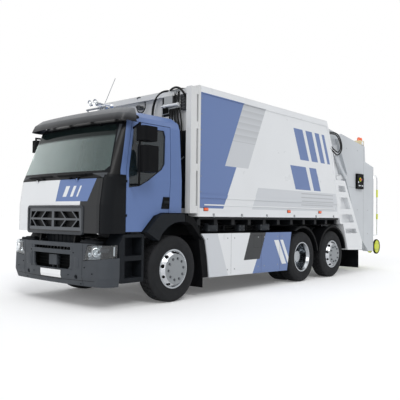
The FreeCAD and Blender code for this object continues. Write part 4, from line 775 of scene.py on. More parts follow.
def fromAbove(node, x, y):
    return touch(node, (x, y, 5), (0, 0, -1))


def frontLevel(node, y, z):
    return fromFront(node, y, z)[0].x


def along(points, step=0.03):  # points on straight runs, close enough to lie on a curved surface
    line = [Vector(points[0])]
    for a, b in zip(points, points[1:]):
        a, b = Vector(a), Vector(b)
        parts = max(1, round((b - a).length / step))
        line += [a.lerp(b, (i + 1) / parts) for i in range(parts)]
    return line


def addSeam(bm, node, points, direction, radius):  # a dark line lying in a surface
    hits = [touch(node, point, direction) for point in along(points)]
    addTube(bm, [place - normal * radius * 0.55 for place, normal in hits if place], radius, 6, smooth=False)


def addBolt(bm, place, normal, radius=0.009, material=0):
    foot = Vector(place)
    out = Vector(normal).normalized()
    addRod(bm, foot - out * 0.001, foot + out * radius * 0.25, radius * 1.3, 14, material=material)
    addRod(bm, foot + out * radius * 0.25, foot + out * radius * 0.85, radius, 6, material=material)


def addPlate(bm, corners, direction, thick, bevel=0.0, material=0):  # a flat plate, pushed out from its outline
    verts = [bm.verts.new(Vector(c)) for c in corners]
    face = bm.faces.new(verts)
    grown = bmesh.ops.extrude_face_region(bm, geom=[face])["geom"]
    top = madeOf(grown, bmesh.types.BMVert)
    bmesh.ops.translate(bm, verts=top, vec=Vector(direction).normalized() * thick)
    everything = facesOf(verts + top)
    bmesh.ops.recalc_face_normals(bm, faces=everything)
    for made in everything:
        made.material_index = material
    if bevel:
        roundEdges(bm, edgesOf(everything), bevel)
    return top


def panelledBox(bm, low, top, axis, border, depth, radius):  # a rounded box with a sunk panel on one face
    made = addBlock(bm, low, top)
    faces = [f for f in facesOf(made) if f.normal[axis] > 0.9]
    bmesh.ops.inset_region(bm, faces=faces, thickness=border, depth=-depth)
    roundEdges(bm, bm.edges[:], radius)


# Bumper
bumperGiven = {
    "seam": (0.75, 0.335, 0.938),  # how far out, and its ends
    "plateHalf": 0.265,
    "plateLow": 0.415,
    "plateTop": 0.530,
    "plateFrame": 0.012,
    "plateFrom": 1.415,
    "plateColour": (232, 233, 234),
    "slotBars": (13, 0.832, 0.883),  # how many, and how high they reach
    "mouthBars": (0.600, 0.645, 0.690, 0.735),
    "mouthBack": ((1.300, -0.54, 0.545), (1.312, 0.54, 0.778)),
    "radarLow": (1.330, -0.09, 0.592),
    "radarTop": (1.402, 0.11, 0.748),
    "pad": [(0.575, 0.575), (0.675, 0.575), (0.675, 0.735), (0.575, 0.735)],
    "lipZ": 0.395,
    "bolts": [(0.80, 0.60), (0.45, 0.475), (0.70, 0.36), (0.96, 0.52), (0.55, 0.80)],
}


def makeBumperPaint(given):  # the blank plate is a field of paint with its frame
    material = makePlastic("bumperPlastic", paint["trimGrey"], 0.5, 300.0, 0.08)
    front = calculate(material, "GREATER_THAN", objectAxis(material, "X"), ahead(given["plateFrom"]))
    colour = vary(material, paint["trimGrey"], 0.06, 5)
    for grow, layer in ((given["plateFrame"], paint["black"]), (0, given["plateColour"])):
        half, low, top = given["plateHalf"] + grow, given["plateLow"] - grow, given["plateTop"] + grow
        field = areaMask(material, [(-half, low), (half, low), (half, top), (-half, top)], "Y", "Z")
        colour = mixColours(material, multiply(material, field, front), colour, shade(layer, 1))
    setColour(material, colour)
    return material


def makeBumperDetails(given):
    bm = bmesh.new()
    across, *ends = given["seam"]
    for side in (1, -1):
        addSeam(bm, "front_bumper", [(ahead(2), side * across, z) for z in ends], (-1, 0, 0), 0.004)
        lipLine = [(ahead(2), side * y, given["lipZ"] + 0.02 * (y / 1.1)) for y in (0.0, 0.4, 0.8, 1.0)]
        addSeam(bm, "front_bumper", lipLine, (-1, 0, 0), 0.005)
    newPiece("bumperSeams", bm, sealRubber, "chassis")

    bm = bmesh.new()
    count, low, top = given["slotBars"]
    for index in range(count):
        y = -0.5 + index / (count - 1)
        front = frontLevel("front_bumper", y, 0.80)
        addBox(bm, (front - 0.045, y - 0.005, low), (front - 0.012, y + 0.005, top), 0.0015)
    for z in given["mouthBars"]:
        line = [(frontLevel("front_bumper", y, 0.80) - 0.075, y, z) for y in (-0.54, -0.3, 0, 0.3, 0.54)]
        addTube(bm, line, 0.005, 8)
    addBlock(bm, *given["mouthBack"], 0.003)
    newPiece("bumperGrilles", bm, pitchPlastic, "chassis")

    bm = bmesh.new()
    panelledBox(bm, given["radarLow"], given["radarTop"], 0, 0.016, 0.004, 0.0035)
    foot = ahead(given["radarLow"][0]) - 0.03
    for side in (1, -1):
        addBox(bm, (foot, side * 0.06 - 0.015, 0.545), (foot + 0.05, side * 0.06 + 0.015, 0.60), 0.003)
    newPiece("radarBox", bm, trimPlastic, "chassis")

    bm = bmesh.new()
    for side in (1, -1):
        hits = [fromFront("front_bumper", side * y, z) for y, z in given["pad"]]
        corners = [place - normal * 0.006 for place, normal in hits]
        addPlate(bm, corners, (1, side * 0.06, 0), 0.0095, 0.003)
    newPiece("bumperPads", bm, bumperPlastic, "chassis")

    bm = bmesh.new()
    for side in (1, -1):
        for y, z in given["bolts"]:
            place, normal = fromFront("front_bumper", side * y, z)
            if place and place.x < ahead(1.432):
                addBolt(bm, place, normal, 0.008)
    newPiece("bumperBolts", bm, blackPlastic, "chassis")


bumperPlastic = makeBumperPaint(bumperGiven)
cadNodes["front_bumper"].data.materials[0] = bumperPlastic
makeBumperDetails(bumperGiven)
print("bumper made")


# Headlamps: a tray behind a clear cover, with reflectors and a light guide
lampGiven = {
    "innerLow": 0.778,
    "innerTop": 0.855,
    "low": 0.699,
    "top": 0.915,
    "outerLow": 0.755,
    "outerTop": 0.930,
    "turn": 84,
    "columns": 20,
    "rows": 6,
    "border": 0.013,
    "depth": 0.046,
    "reflectorEnd": 1.06,
    "bowls": [(0.44, 0.52, 0.056), (0.20, 0.36, 0.030)],
    "bowl": [(1.12, -0.014), (1.12, 0.016), (1, 0.018), (0.93, 0.004), (0.72, -0.012), (0.38, -0.022), (0, -0.024)],
    "ball": [(0, 0.004), (0.26, 0.000), (0.30, -0.018), (0, -0.020)],  # radii as parts of the bowl's
    "cells": [(0.58, 0.62), (0.66, 0.62), (0.74, 0.62)],
    "cell": [(0.026, -0.010), (0.028, 0.010), (0.024, 0.011), (0.016, -0.004), (0.0005, -0.008)],
    "guide": 0.93,
    "guideRadius": 0.011,
}


def lampPlace(given, side, share, up):  # a place on the lamp's surface, and the way out of it
    low = given["low"] + (given["outerLow"] - given["low"]) * share
    top = given["top"] + (given["outerTop"] - given["top"]) * share
    z = low + (top - low) * up
    inner = given["innerLow"] + (given["innerTop"] - given["innerLow"]) * up
    angle = math.radians(given["turn"]) * share
    out = Vector((math.cos(angle), side * math.sin(angle), 0))
    start = Vector((ahead(1.10), side * inner, z)) + out * 0.8
    place = touch("headlamps", start, -out)[0]
    return place or touch("front_bumper", start, -out)[0], out


def lampSheet(given, side):
    bm = bmesh.new()
    bmesh.ops.create_grid(bm, x_segments=given["columns"], y_segments=given["rows"], size=0.5)
    for vert in bm.verts:
        vert.co = lampPlace(given, side, vert.co.x + 0.5, vert.co.y + 0.5)[0]
    bmesh.ops.recalc_face_normals(bm, faces=bm.faces)
    if sum(f.normal.x for f in bm.faces) < 0:
        bmesh.ops.reverse_faces(bm, faces=bm.faces)
    bm.normal_update()
    return bm


def makeHeadlamps(given):
    for sideName, side in sides:
        lens = lampSheet(given, side)
        bmesh.ops.solidify(lens, geom=lens.faces[:], thickness=0.003)
        newPiece(f"lampCover{sideName}", lens, clearLens, "chassis")
        bm = lampSheet(given, side)
        for vert in bm.verts:
            vert.co -= vert.normal * 0.004
        inner = bm.faces[:]
        bmesh.ops.inset_region(bm, faces=inner, thickness=given["border"], use_even_offset=True)
        rim = [f for f in bm.faces if f not in inner]
        bmesh.ops.inset_region(bm, faces=inner, thickness=0.004, depth=-given["depth"], use_even_offset=True)
        for face in bm.faces:
            if face in rim:
                face.material_index = 0
            elif face in inner and abs(face.calc_center_median().y) < given["reflectorEnd"]:
                face.material_index = 1
            else:
                face.material_index = 2
        tray = newPiece(f"lampTray{sideName}", bm, [lampFrame, reflector, blackGloss], "chassis", 0.5)
        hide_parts("headlamps")
        bm = bmesh.new()
        for u, v, radius in given["bowls"]:
            place, out = lampPlace(given, side, u, v)
            centre = place - out * 0.030
            addLathe(bm, scaled(given["bowl"], radius), centre, 36, out)
            addLathe(bm, scaled(given["ball"], radius), centre, 24, out, material=1)
        newPiece(f"lampBowls{sideName}", bm, [chrome, whiteLens], "chassis")
        bm = bmesh.new()
        guide = [lampPlace(given, side, given["guide"] - 0.02 * v, v) for v in (0.14, 0.4, 0.6, 0.86)]
        addTube(bm, [place - out * 0.022 for place, out in guide], given["guideRadius"], 12)
        for u, v in given["cells"]:
            place, out = lampPlace(given, side, u, v)
            addLathe(bm, given["cell"], place - out * 0.036, 24, out, material=1)
        newPiece(f"lampGuides{sideName}", bm, [whiteLens, darkChrome], "chassis")


lampFrame = makeMetal("lampFrame", (188, 192, 196), 0.25)
reflector = makeMetal("reflector", (120, 124, 128), 0.22)
darkChrome = makeMetal("darkChrome", (70, 73, 77), 0.15)
makeHeadlamps(lampGiven)
print("headlamps made")


# Wipers on the cowl under the windscreen
wiperGiven = {
    "blades": [((-0.80, 1.925), (-0.10, 1.933), -0.34), ((0.03, 1.930), (0.84, 1.938), 0.36)],
    "pivotZ": 1.898,
}


def makeWipers(given):
    bm = bmesh.new()
    for (y0, z0), (y1, z1), pivotY in given["blades"]:
        shares = (0, 0.2, 0.4, 0.6, 0.8, 1)
        hits = [fromFront("cab_shell", y0 + (y1 - y0) * share, z0 + (z1 - z0) * share) for share in shares]
        line = [place + normal * 0.016 for place, normal in hits]
        addTube(bm, line, 0.0075, 8)
        addTube(bm, [p + Vector((0.006, 0, 0.011)) for p in line], 0.004, 6)
        foot, normal = fromFront("cab_shell", pivotY, given["pivotZ"])
        addRod(bm, foot - normal * 0.02, foot + normal * 0.026, 0.022, 20, 0.017)
        top, reach = foot + normal * 0.022, line[2].lerp(line[3], 0.5)
        if abs(reach.y - pivotY) < 0.1:
            reach = line[4]
        elbow = top.lerp(reach, 0.5) + normal * 0.016 + Vector((0, 0, 0.012))
        addTube(bm, [top, elbow, reach + normal * 0.008], 0.009, 8)
        addBox(bm, reach + Vector((-0.004, -0.032, -0.009)), reach + Vector((0.016, 0.032, 0.014)), 0.003)
    newPiece("wipers", bm, blackPlastic, "cab")


makeWipers(wiperGiven)
print("wipers made")


# Grille surround and what shows between cab and bumper
surroundGiven = {
    "half": 0.730,
    "low": 1.058,
    "top": 1.492,
    "corner": 0.055,
    "width": 0.040,
    "proud": 0.016,
    "back": 0.030,
    "meshRows": 22,
    "meshHeights": (1.125, 1.450),
    "meshStep": 0.0675,
    "cheeks": (0.468, 0.546),
    "shield": ((1.212, -0.46, 0.90), (1.232, 0.46, 1.062)),
    "cover": ((1.20, 0.60, 0.930), (1.345, 0.98, 0.978)),
    "coverTop": ((1.23, 0.66, 0.970), (1.31, 0.90, 0.992)),
    "mouth": (0.547, 0.773),
    "slot": (0.832, 0.883),
}


def roundedOutline(half, low, top, radius, runs=14):  # across and up, with round corners
    corners = [(half, top, 0), (-half, top, 90), (-half, low, 180), (half, low, 270)]
    points = []
    for y, z, turn in corners:
        centreY, centreZ = y - math.copysign(radius, y), z - math.copysign(radius, z - (low + top) / 2)
        for step in range(6):
            angle = math.radians(turn + 18 * step)
            points.append((centreY + radius * math.cos(angle), centreZ + radius * math.sin(angle)))
        if turn in (0, 180):
            y0, z0 = points[-1]
            points += [(y0 - 2 * (half - radius) * math.copysign(1, y) * i / runs, z0) for i in range(1, runs)]
    return points


def makeSurround(given):
    bm = bmesh.new()
    for inset in (0, given["width"]):
        half, low, top = given["half"] - inset, given["low"] + inset, given["top"] - inset
        loop = [bm.verts.new((0, y, z)) for y, z in roundedOutline(half, low, top, given["corner"] - inset / 2)]
        for pair in zip(loop, loop[1:] + loop[:1]):
            bm.edges.new(pair)
    bmesh.ops.bridge_loops(bm, edges=bm.edges[:])
    grown = bmesh.ops.extrude_face_region(bm, geom=bm.faces[:])["geom"]
    frontVerts = set(madeOf(grown, bmesh.types.BMVert))
    for vert in bm.verts:
        surface = frontLevel("front_flap", max(-0.74, min(0.74, vert.co.y)), 1.50)
        vert.co.x = surface + (given["proud"] if vert in frontVerts else -given["back"])
    bmesh.ops.recalc_face_normals(bm, faces=bm.faces)
    sharp = [e for e in bm.edges if len(e.link_faces) == 2 and e.calc_face_angle(0) > 0.9]
    roundEdges(bm, sharp, 0.006)
    newPiece("grilleSurround", bm, grilleFrame, "flap")

    bm = bmesh.new()
    low, top = given["meshHeights"]
    for index in range(given["meshRows"]):
        z = low + (top - low) * index / (given["meshRows"] - 1)
        line = [(frontLevel("front_flap", y, 1.50) - 0.046, y, z) for y in (-0.70, -0.35, 0, 0.35, 0.70)]
        addTube(bm, line, 0.0028, 6)
    for y in [i * given["meshStep"] for i in range(-10, 11)]:
        x = frontLevel("front_flap", y, 1.50) - 0.050
        addBox(bm, (x - 0.002, y - 0.0025, 1.122), (x + 0.002, y + 0.0025, 1.452))
    newPiece("grilleMesh", bm, blackPlastic, "flap")

    bm = bmesh.new()
    for side in (1, -1):
        for name in ("mouth", "slot"):
            (low, top), (inner, outer) = given[name], given["cheeks"]
            outline = [(inner, low), (outer, low), (outer, top), (inner, top)]
            if name == "mouth":
                outline[:1] = [(inner - 0.045, low)]
                outline.append((inner, low + 0.05))
            corners = [(frontLevel("front_bumper", side * y, 0.80) - 0.034, side * y, z) for y, z in outline]
            addPlate(bm, corners, (1, side * 0.05, 0), 0.030, 0.003)
    newPiece("mouthCheeks", bm, bumperPlastic, "chassis")

    bm = bmesh.new()
    addBlock(bm, *given["shield"], 0.006)
    for index in range(9):
        y = -0.40 + 0.1 * index
        addBlock(bm, (1.230, y - 0.006, 0.91), (1.240, y + 0.006, 1.055), 0.002)
    for side in (1, -1):
        addBlock(bm, *given["cover"], 0.016, side=side)
        addBlock(bm, *given["coverTop"], 0.008, side=side)
    newPiece("bumperTopCovers", bm, darkPlastic, "chassis")


grilleFrame = makePlastic("grilleFrame", (52, 55, 59), 0.4, 300.0, 0.06)
grilleBars = makeMetal("grilleBars", (98, 101, 105), 0.38)
cadNodes["front_grille"].data.materials[0] = grilleBars
makeSurround(surroundGiven)
print("grille made")


# Doors: handles, locks and window seals, with a marker lamp over each
doorGiven = {
    "recess": [(0.056, 1.645), (0.196, 1.645), (0.242, 1.460), (0.066, 1.460)],
    "grip": [(0.076, 1.585), (0.190, 1.585), (0.200, 1.545), (0.078, 1.545)],
    "recessSteps": [(0.010, 0.0), (0.008, -0.005)],  # widths and depths, one inside the other
    "sealRadius": 0.009,
    "lockShape": [(0.013, 0), (0.013, 0.006), (0.010, 0.009), (0.0005, 0.009)],
    "lampShape": [(0.030, -0.004), (0.030, 0.006), (0.022, 0.012), (0.0005, 0.014)],
    "lampStretch": 1.7,
    "lock": (0.12, 1.505),
    "lamp": (0.70, 2.835),
}


def nodeOutline(node, facing, least=0.7):  # the edge loop round the faces of a node that look one way
    bm = nodeMesh(node)
    facing = Vector(facing)
    bm.normal_update()
    chosen = {f for f in bm.faces if f.normal.dot(facing) > least}
    border = [e for e in bm.edges if sum(f in chosen for f in e.link_faces) == 1]
    nextEdges = {}
    for edge in border:
        for vert in edge.verts:
            nextEdges.setdefault(vert, []).append(edge)
    loops, used = [], set()
    for edge in border:
        if edge in used:
            continue
        loop, vert = [edge.verts[0].co.copy()], edge.verts[1]
        used.add(edge)
        while True:
            loop.append(vert.co.copy())
            following = [e for e in nextEdges[vert] if e not in used]
            if not following:
                break
            used.add(following[0])
            vert = following[0].other_vert(vert)
        loops.append(loop)
    bm.free()
    return max(loops, key=lambda line: sum((b - a).length for a, b in zip(line, line[1:])))


def sidePlate(bm, node, outline, side, proud, thick, bevel=0.0):  # a plate lying on a side surface
    hits = [fromSide(node, ahead(x), z, side)[0] for x, z in outline]
    level = max(abs(hit.y) for hit in hits if hit)
    levels = [abs(hit.y) if hit else level for hit in hits]
    corners = [(ahead(x), side * (y + proud), z) for (x, z), y in zip(outline, levels)]
    return addPlate(bm, corners, (0, side, 0), thick, bevel)


def makeDoorDetails(given):
    for sideName, side in sides:
        door = f"door_{sideName.lower()}"  # the node and the body
        bm = bmesh.new()
        made = sidePlate(bm, door, given["recess"], side, 0.001, 0.008)
        faces = [f for f in facesOf(made) if f.normal.y * side > 0.9]
        for width, depth in given["recessSteps"]:
            bmesh.ops.inset_region(bm, faces=faces, thickness=width, depth=depth)
        newPiece(f"handleRecess{sideName}", bm, blackPlastic, door)
        bm = bmesh.new()
        sidePlate(bm, door, given["grip"], side, 0.003, 0.014, 0.004)
        x, z = given["lock"]
        place = fromSide(door, ahead(x), z, side)[0]
        addLathe(bm, given["lockShape"], place, 20, (0, side, 0))
        newPiece(f"doorGrip{sideName}", bm, darkPlastic, door)
        loop = nodeOutline(f"door_glass_{sideName.lower()}", (0, side, 0))
        bm = bmesh.new()
        addTube(bm, [p + Vector((0, side * 0.001, 0)) for p in loop], given["sealRadius"], 8, smooth=False)
        newPiece(f"windowSeal{sideName}", bm, sealRubber, door)
        bm = bmesh.new()
        x, z = given["lamp"]
        place, normal = fromSide("cab_roof", ahead(x), z, side)
        addLathe(bm, given["lampShape"], place, 24, normal, (1, 0, 0))
        for vert in bm.verts:
            vert.co.x = place.x + (vert.co.x - place.x) * given["lampStretch"]
        newPiece(f"markerLamp{sideName}", bm, blackGloss, "cab")


makeDoorDetails(doorGiven)


# Mirror glasses
mirrorGiven = {"heads": [(0.600, 1.985, 2.370), (0.630, 2.440, 2.650)], "width": 0.235, "inset": 0.022}


def makeMirrorGlasses(given):
    for sideName, side in sides:
        bm = bmesh.new()
        outer = max(abs(corner.y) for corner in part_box(f"mirrors_{sideName.lower()}"))
        inset = given["inset"]
        y0, y1 = side * (outer - given["width"] + inset), side * (outer - inset)
        for x, z0, z1 in given["heads"]:
            addBox(bm, (ahead(x) - 0.003, y0, z0 + inset), (ahead(x) + 0.004, y1, z1 - inset), 0.002)
        newPiece(f"mirrorGlass{sideName}", bm, chrome, f"door_{sideName.lower()}")


makeMirrorGlasses(mirrorGiven)
print("doors and mirrors made")


# Roof of the cab: a bar with horns, and an aerial
roofGiven = {
    "barX": 0.62,
    "barHalf": 0.25,
    "barRise": 0.175,
    "horns": [0.06, 0.20],
    "horn": [(0.0005, -0.02), (0.030, -0.015), (0.030, 0.02), (0.012, 0.03), (0.015, 0.18), (0.024, 0.28),
             (0.048, 0.34), (0.056, 0.35), (0.050, 0.345), (0.020, 0.26), (0.0005, 0.20)],
    "aerialBase": [(0.032, -0.005), (0.032, 0.008), (0.014, 0.030), (0.0005, 0.045)],
    "aerialFoot": (0.574, 0.0),
    "aerialTop": (0.652, 0.509, 3.515),
}


def makeRoofGear(given):
    bm = bmesh.new()
    x = ahead(given["barX"])
    z = fromAbove("cab_roof", x, 0)[0].z + given["barRise"]
    half = given["barHalf"]
    addTube(bm, [(x, -half, z), (x, half, z)], 0.016, 12, smooth=False)
    for y in (-half + 0.03, 0.10, half - 0.03):
        foot = fromAbove("cab_roof", x, y)[0]
        addRod(bm, (x, y, foot.z - 0.01), (x, y, z), 0.012, 12)
        addBox(bm, (x - 0.035, y - 0.025, foot.z - 0.012), (x + 0.035, y + 0.025, foot.z + 0.008), 0.003)
    newPiece("roofBar", bm, zincSteel, "cab")
    bm = bmesh.new()
    for y in given["horns"]:
        addLathe(bm, given["horn"], (x - 0.16, y, z + 0.045), 28, (1, 0, 0))
        addBox(bm, (x - 0.012, y - 0.012, z - 0.004), (x + 0.012, y + 0.012, z + 0.035), 0.003)
    newPiece("roofHorns", bm, chrome, "cab")
    bm = bmesh.new()
    x, y = given["aerialFoot"]
    foot = fromAbove("cab_roof", ahead(x), y)[0]
    addLathe(bm, given["aerialBase"], foot, 24, (0, 0, 1), (1, 0, 0))
    x, y, z = given["aerialTop"]
    tip = Vector((ahead(x), y, z))
    addTube(bm, [foot + Vector((0, 0, 0.03)), foot.lerp(tip, 0.5), tip], 0.0045, 8, smooth=False)
    newPiece("aerial", bm, zincSteel, "cab")


makeRoofGear(roofGiven)
print("roof gear made")


# Hydraulic hoses and fittings on the front of the body
hoseGiven = {
    "wall": -0.540,
    "arch": [(0.375, 3.125), (0.545, 3.125)],
    "archTop": 3.37,
    "hoseRows": [0.620, 0.655, 0.690, 0.725, 0.760, 0.800, 0.840, 0.880],
    "hoseRadius": 0.013,
    "bigHoses": (0.090, 0.021, 0.019),  # how far out the first runs, and the radii of both
    "bigHose": [(0.600, 3.495), (0.470, 3.512), (0.330, 3.440), (0.245, 3.320), (0.215, 3.150), (0.220, 2.950),
                (0.300, 2.750)],
    "loopHose": [(0.10, 0.66, 3.50), (0.16, 0.78, 3.515), (0.20, 0.93, 3.50), (0.19, 1.02, 3.44),
                 (0.12, 1.05, 3.33), (0.05, 1.02, 3.22)],  # out from the wall, across and up, as below
    "lowPipe": [(0.03, 0.62, 2.30), (0.03, 0.82, 2.26), (0.03, 0.932, 2.345)],
    "plug": [(0.0005, 0), (0.028, 0), (0.028, 0.05), (0.016, 0.055), (0.0005, 0.055)],
    "plugAt": (1.013, 3.45),
    "fittingHeights": (3.455, 3.18),
    "clampHeights": (2.95, 2.60, 2.10, 1.80),
    "cylinder": (0.500, 0.885, 3.232),
    "ports": (3.17, 3.22, 3.27, 3.32, 3.37),
    "valves": [(-0.144, 3.455), (-0.165, 3.305)],
    "valvePipe": [(0.05, -0.04, 0), (0.10, -0.05, 0.01), (0.11, 0.01, 0.03), (0.09, 0.07, 0.02), (0.04, 0.09, -0.02)],
    "thinPipe": [(0.04, -0.06, 3.44), (0.07, 0.02, 3.36), (0.06, -0.02, 3.24), (0.05, -0.12, 3.20),
                 (0.05, -0.22, 3.24), (0.05, -0.24, 3.32)],
}


def makeBodyHoses(given):
    wall = ahead(given["wall"])
    hoses = [(wall + 0.075 + 0.004 * index, y) for index, y in enumerate(given["hoseRows"])]

    def offWall(points, y0=0, z0=0):
        return [(wall + x, y0 + y, z0 + z) for x, y, z in points]

    # the opening is a pitch-black plate, painted shade standing for its dark inside
    bm = bmesh.new()
    (y0, z0), (y1, z1) = given["arch"]
    centre = Vector((wall, (y0 + y1) / 2, given["archTop"]))
    outline = [Vector((wall, y0, z0)), Vector((wall, y1, z1))]
    for step in range(9):
        angle = math.pi * step / 8
        outline.append(centre + Vector((0, math.cos(angle), math.sin(angle))) * (y1 - y0) / 2)
    addPlate(bm, outline, (1, 0, 0), 0.004)
    newPiece("frontOpening", bm, pitchPlastic, "chassis")
    bm = bmesh.new()
    addTube(bm, [p + Vector((0.006, 0, 0)) for p in outline + outline[:1]], 0.010, 8, smooth=False)
    newPiece("frontOpeningFrame", bm, zincSteel, "chassis")

    bm = bmesh.new()
    for index, (x, y) in enumerate(hoses):
        bend = 0.02 * (-1) ** index
        line = [(wall + 0.02, y + 0.05, 3.500), (x - 0.02, y + 0.02, 3.510), (x, y, 3.470), (x + 0.004, y + bend, 3.30),
                (x - 0.002, y, 3.16), (x - 0.03, y - bend, 2.98), (wall + 0.035, y, 2.85), (wall + 0.03, y, 2.40)]
        addTube(bm, line, given["hoseRadius"], 10)
    out, bigRadius, loopRadius = given["bigHoses"]
    addTube(bm, [(wall + out, y, z) for y, z in given["bigHose"]], bigRadius, 12)
    addTube(bm, offWall(given["loopHose"]), loopRadius, 12)
    newPiece("bodyHoses", bm, sealRubber, "chassis")

    bm = bmesh.new()
    for x, y in hoses:
        for z in given["fittingHeights"]:
            addRod(bm, (x, y, z), (x, y, z + 0.036), given["hoseRadius"] * 1.35, 16)
            addRod(bm, (x, y, z + 0.010), (x, y, z + 0.026), given["hoseRadius"] * 1.7, 6)
    for z in given["clampHeights"]:
        addBox(bm, (wall - 0.002, 0.585, z), (wall + 0.05, 0.735, z + 0.035), 0.004)
        for y in (0.60, 0.66, 0.72):
            addBolt(bm, (wall + 0.05, y, z + 0.018), (1, 0, 0), 0.007)
    addTube(bm, offWall(given["lowPipe"]), 0.012, 10)
    addLathe(bm, given["plug"], (wall, *given["plugAt"]), 20, (1, 0, 0))
    newPiece("hoseFittings", bm, zincSteel, "chassis")

    bm = bmesh.new()
    y0, y1, z = given["cylinder"]
    x = wall + 0.135
    addRod(bm, (x, y0 + 0.06, z), (x, y1, z), 0.024, 24)
    for y in (y0 + 0.06, y1 - 0.01):
        addRod(bm, (x, y - 0.012, z), (x, y + 0.012, z), 0.031, 24)
    addRod(bm, (x, y0 - 0.02, z), (x, y0 + 0.06, z), 0.013, 16, material=1)
    for y in (y0 + 0.10, y1 - 0.05):
        addBox(bm, (wall - 0.002, y - 0.018, z - 0.020), (x + 0.005, y + 0.018, z + 0.020), 0.004)
    newPiece("frontCylinder", bm, [whitePaint, chrome], "chassis")

    bm = bmesh.new()
    addBox(bm, (wall - 0.002, 0.885, 3.14), (wall + 0.075, 0.990, 3.400), 0.006)
    for z in given["ports"]:
        for y in (0.910, 0.965):
            addRod(bm, (wall + 0.07, y, z), (wall + 0.105, y, z), 0.013, 14)
            addRod(bm, (wall + 0.09, y, z), (wall + 0.102, y, z), 0.018, 6)
    for y, z in given["valves"]:
        addBox(bm, (wall - 0.002, y - 0.06, z - 0.03), (wall + 0.06, y + 0.06, z + 0.03), 0.006)
        addTube(bm, offWall(given["valvePipe"], y, z), 0.011, 10)
        addRod(bm, (wall + 0.05, y + 0.03, z), (wall + 0.09, y + 0.03, z), 0.016, 6)
    newPiece("frontManifold", bm, castIron, "chassis")

    bm = bmesh.new()
    addTube(bm, offWall(given["thinPipe"]), 0.010, 10)
    newPiece("frontPipes", bm, darkPlastic, "chassis")


makeBodyHoses(hoseGiven)
print("hydraulics made")


# Side of the body: marker lamps, rail, lashing rings and bolts
sideGiven = {
    "markers": [(-0.756, 1.470), (-3.356, 1.467), (-4.635, 1.467)],
    "railZ": 1.545,
    "railEnds": (-0.72, -5.35),
    "rings": [-0.95, -1.75, -2.55, -3.55, -4.45, -5.25],
    "ring": [(-0.016, 0.008, 1.378), (-0.018, 0.014, 1.350), (0, 0.016, 1.334), (0.018, 0.014, 1.350),
             (0.016, 0.008, 1.378)],
    "bolts": (-0.625, [1.50, 1.76, 2.02, 2.28, 2.54, 2.80, 3.06, 3.32]),
}


def makeBodySideDetails(given):
    for sideName, side in sides:
        bm = bmesh.new()
        for x, z in given["markers"]:
            x = ahead(x)
            y = fromSide("body_sides", x, z, side)[0].y
            addBox(bm, (x - 0.058, y - 0.004, z - 0.030), (x + 0.058, y + side * 0.006, z + 0.030), 0.003, 1)
            addBox(bm, (x - 0.052, y, z - 0.024), (x + 0.052, y + side * 0.024, z + 0.024), 0.008)
        newPiece(f"sideMarkers{sideName}", bm, [amberLens, blackPlastic], "chassis")
        bm = bmesh.new()
        z = given["railZ"]
        start, end = [fromSide("body_sides", ahead(x), z, side)[0] for x in given["railEnds"]]
        y0, y1 = start.y - side * 0.004, start.y + side * 0.010
        addBox(bm, (end.x, y0, z - 0.011), (start.x, y1, z + 0.011), 0.003)
        newPiece(f"bodyRail{sideName}", bm, whitePaint, "chassis")
        bm = bmesh.new()
        for x in given["rings"]:
            x = ahead(x)
            place = fromSide("body_sides", x, 1.385, side)[0]
            if place:
                y = place.y
                addBox(bm, (x - 0.022, y - 0.004, 1.366), (x + 0.022, y + side * 0.010, 1.402), 0.003)
                addTube(bm, [(x + dx, y + side * dy, z) for dx, dy, z in given["ring"]], 0.0045, 8)
        x, heights = given["bolts"]
        for z in heights:
            place = fromSide("body_sides", ahead(x), z, side)[0]
            if place:
                addBolt(bm, place, (0, side, 0), 0.008)
        newPiece(f"bodyRings{sideName}", bm, zincSteel, "chassis")


makeBodySideDetails(sideGiven)
print("body sides made")


# Side skirts: joints, latches and the charging lid
skirtGiven = {
    "joints": [-1.45, -2.38, -3.02],
    "jointEnds": (0.305, 1.055),
    "latches": [-0.80, -1.35, -1.55, -2.28, -2.48, -2.94, -3.10],
    "latch": [(0.013, -0.002), (0.013, 0.002), (0.009, 0.003), (0.0005, 0.0015)],
    "lid": [(-2.14, 1.00), (-2.44, 1.00), (-2.44, 0.78), (-2.14, 0.78)],
}


def makeSkirtDetails(given):
    for sideName, side in sides:
        bm = bmesh.new()
        for x in given["joints"]:
            joint = [(ahead(x), side * 3, z) for z in given["jointEnds"]]
            addSeam(bm, "side_skirts", joint, (0, -side, 0), 0.003)
        lid = [(ahead(x), side * 3, z) for x, z in given["lid"] + given["lid"][:1]]
        addSeam(bm, "side_skirts", lid, (0, -side, 0), 0.0025)
        newPiece(f"skirtJoints{sideName}", bm, sealRubber, "chassis")
        bm = bmesh.new()
        for x in given["latches"]:
            for z in (0.42, 0.97):
                place = fromSide("side_skirts", ahead(x), z, side)[0]
                if place:
                    addLathe(bm, given["latch"], place, 16, (0, side, 0))
        newPiece(f"skirtLatches{sideName}", bm, zincSteel, "chassis")


makeSkirtDetails(skirtGiven)
print("skirts made")


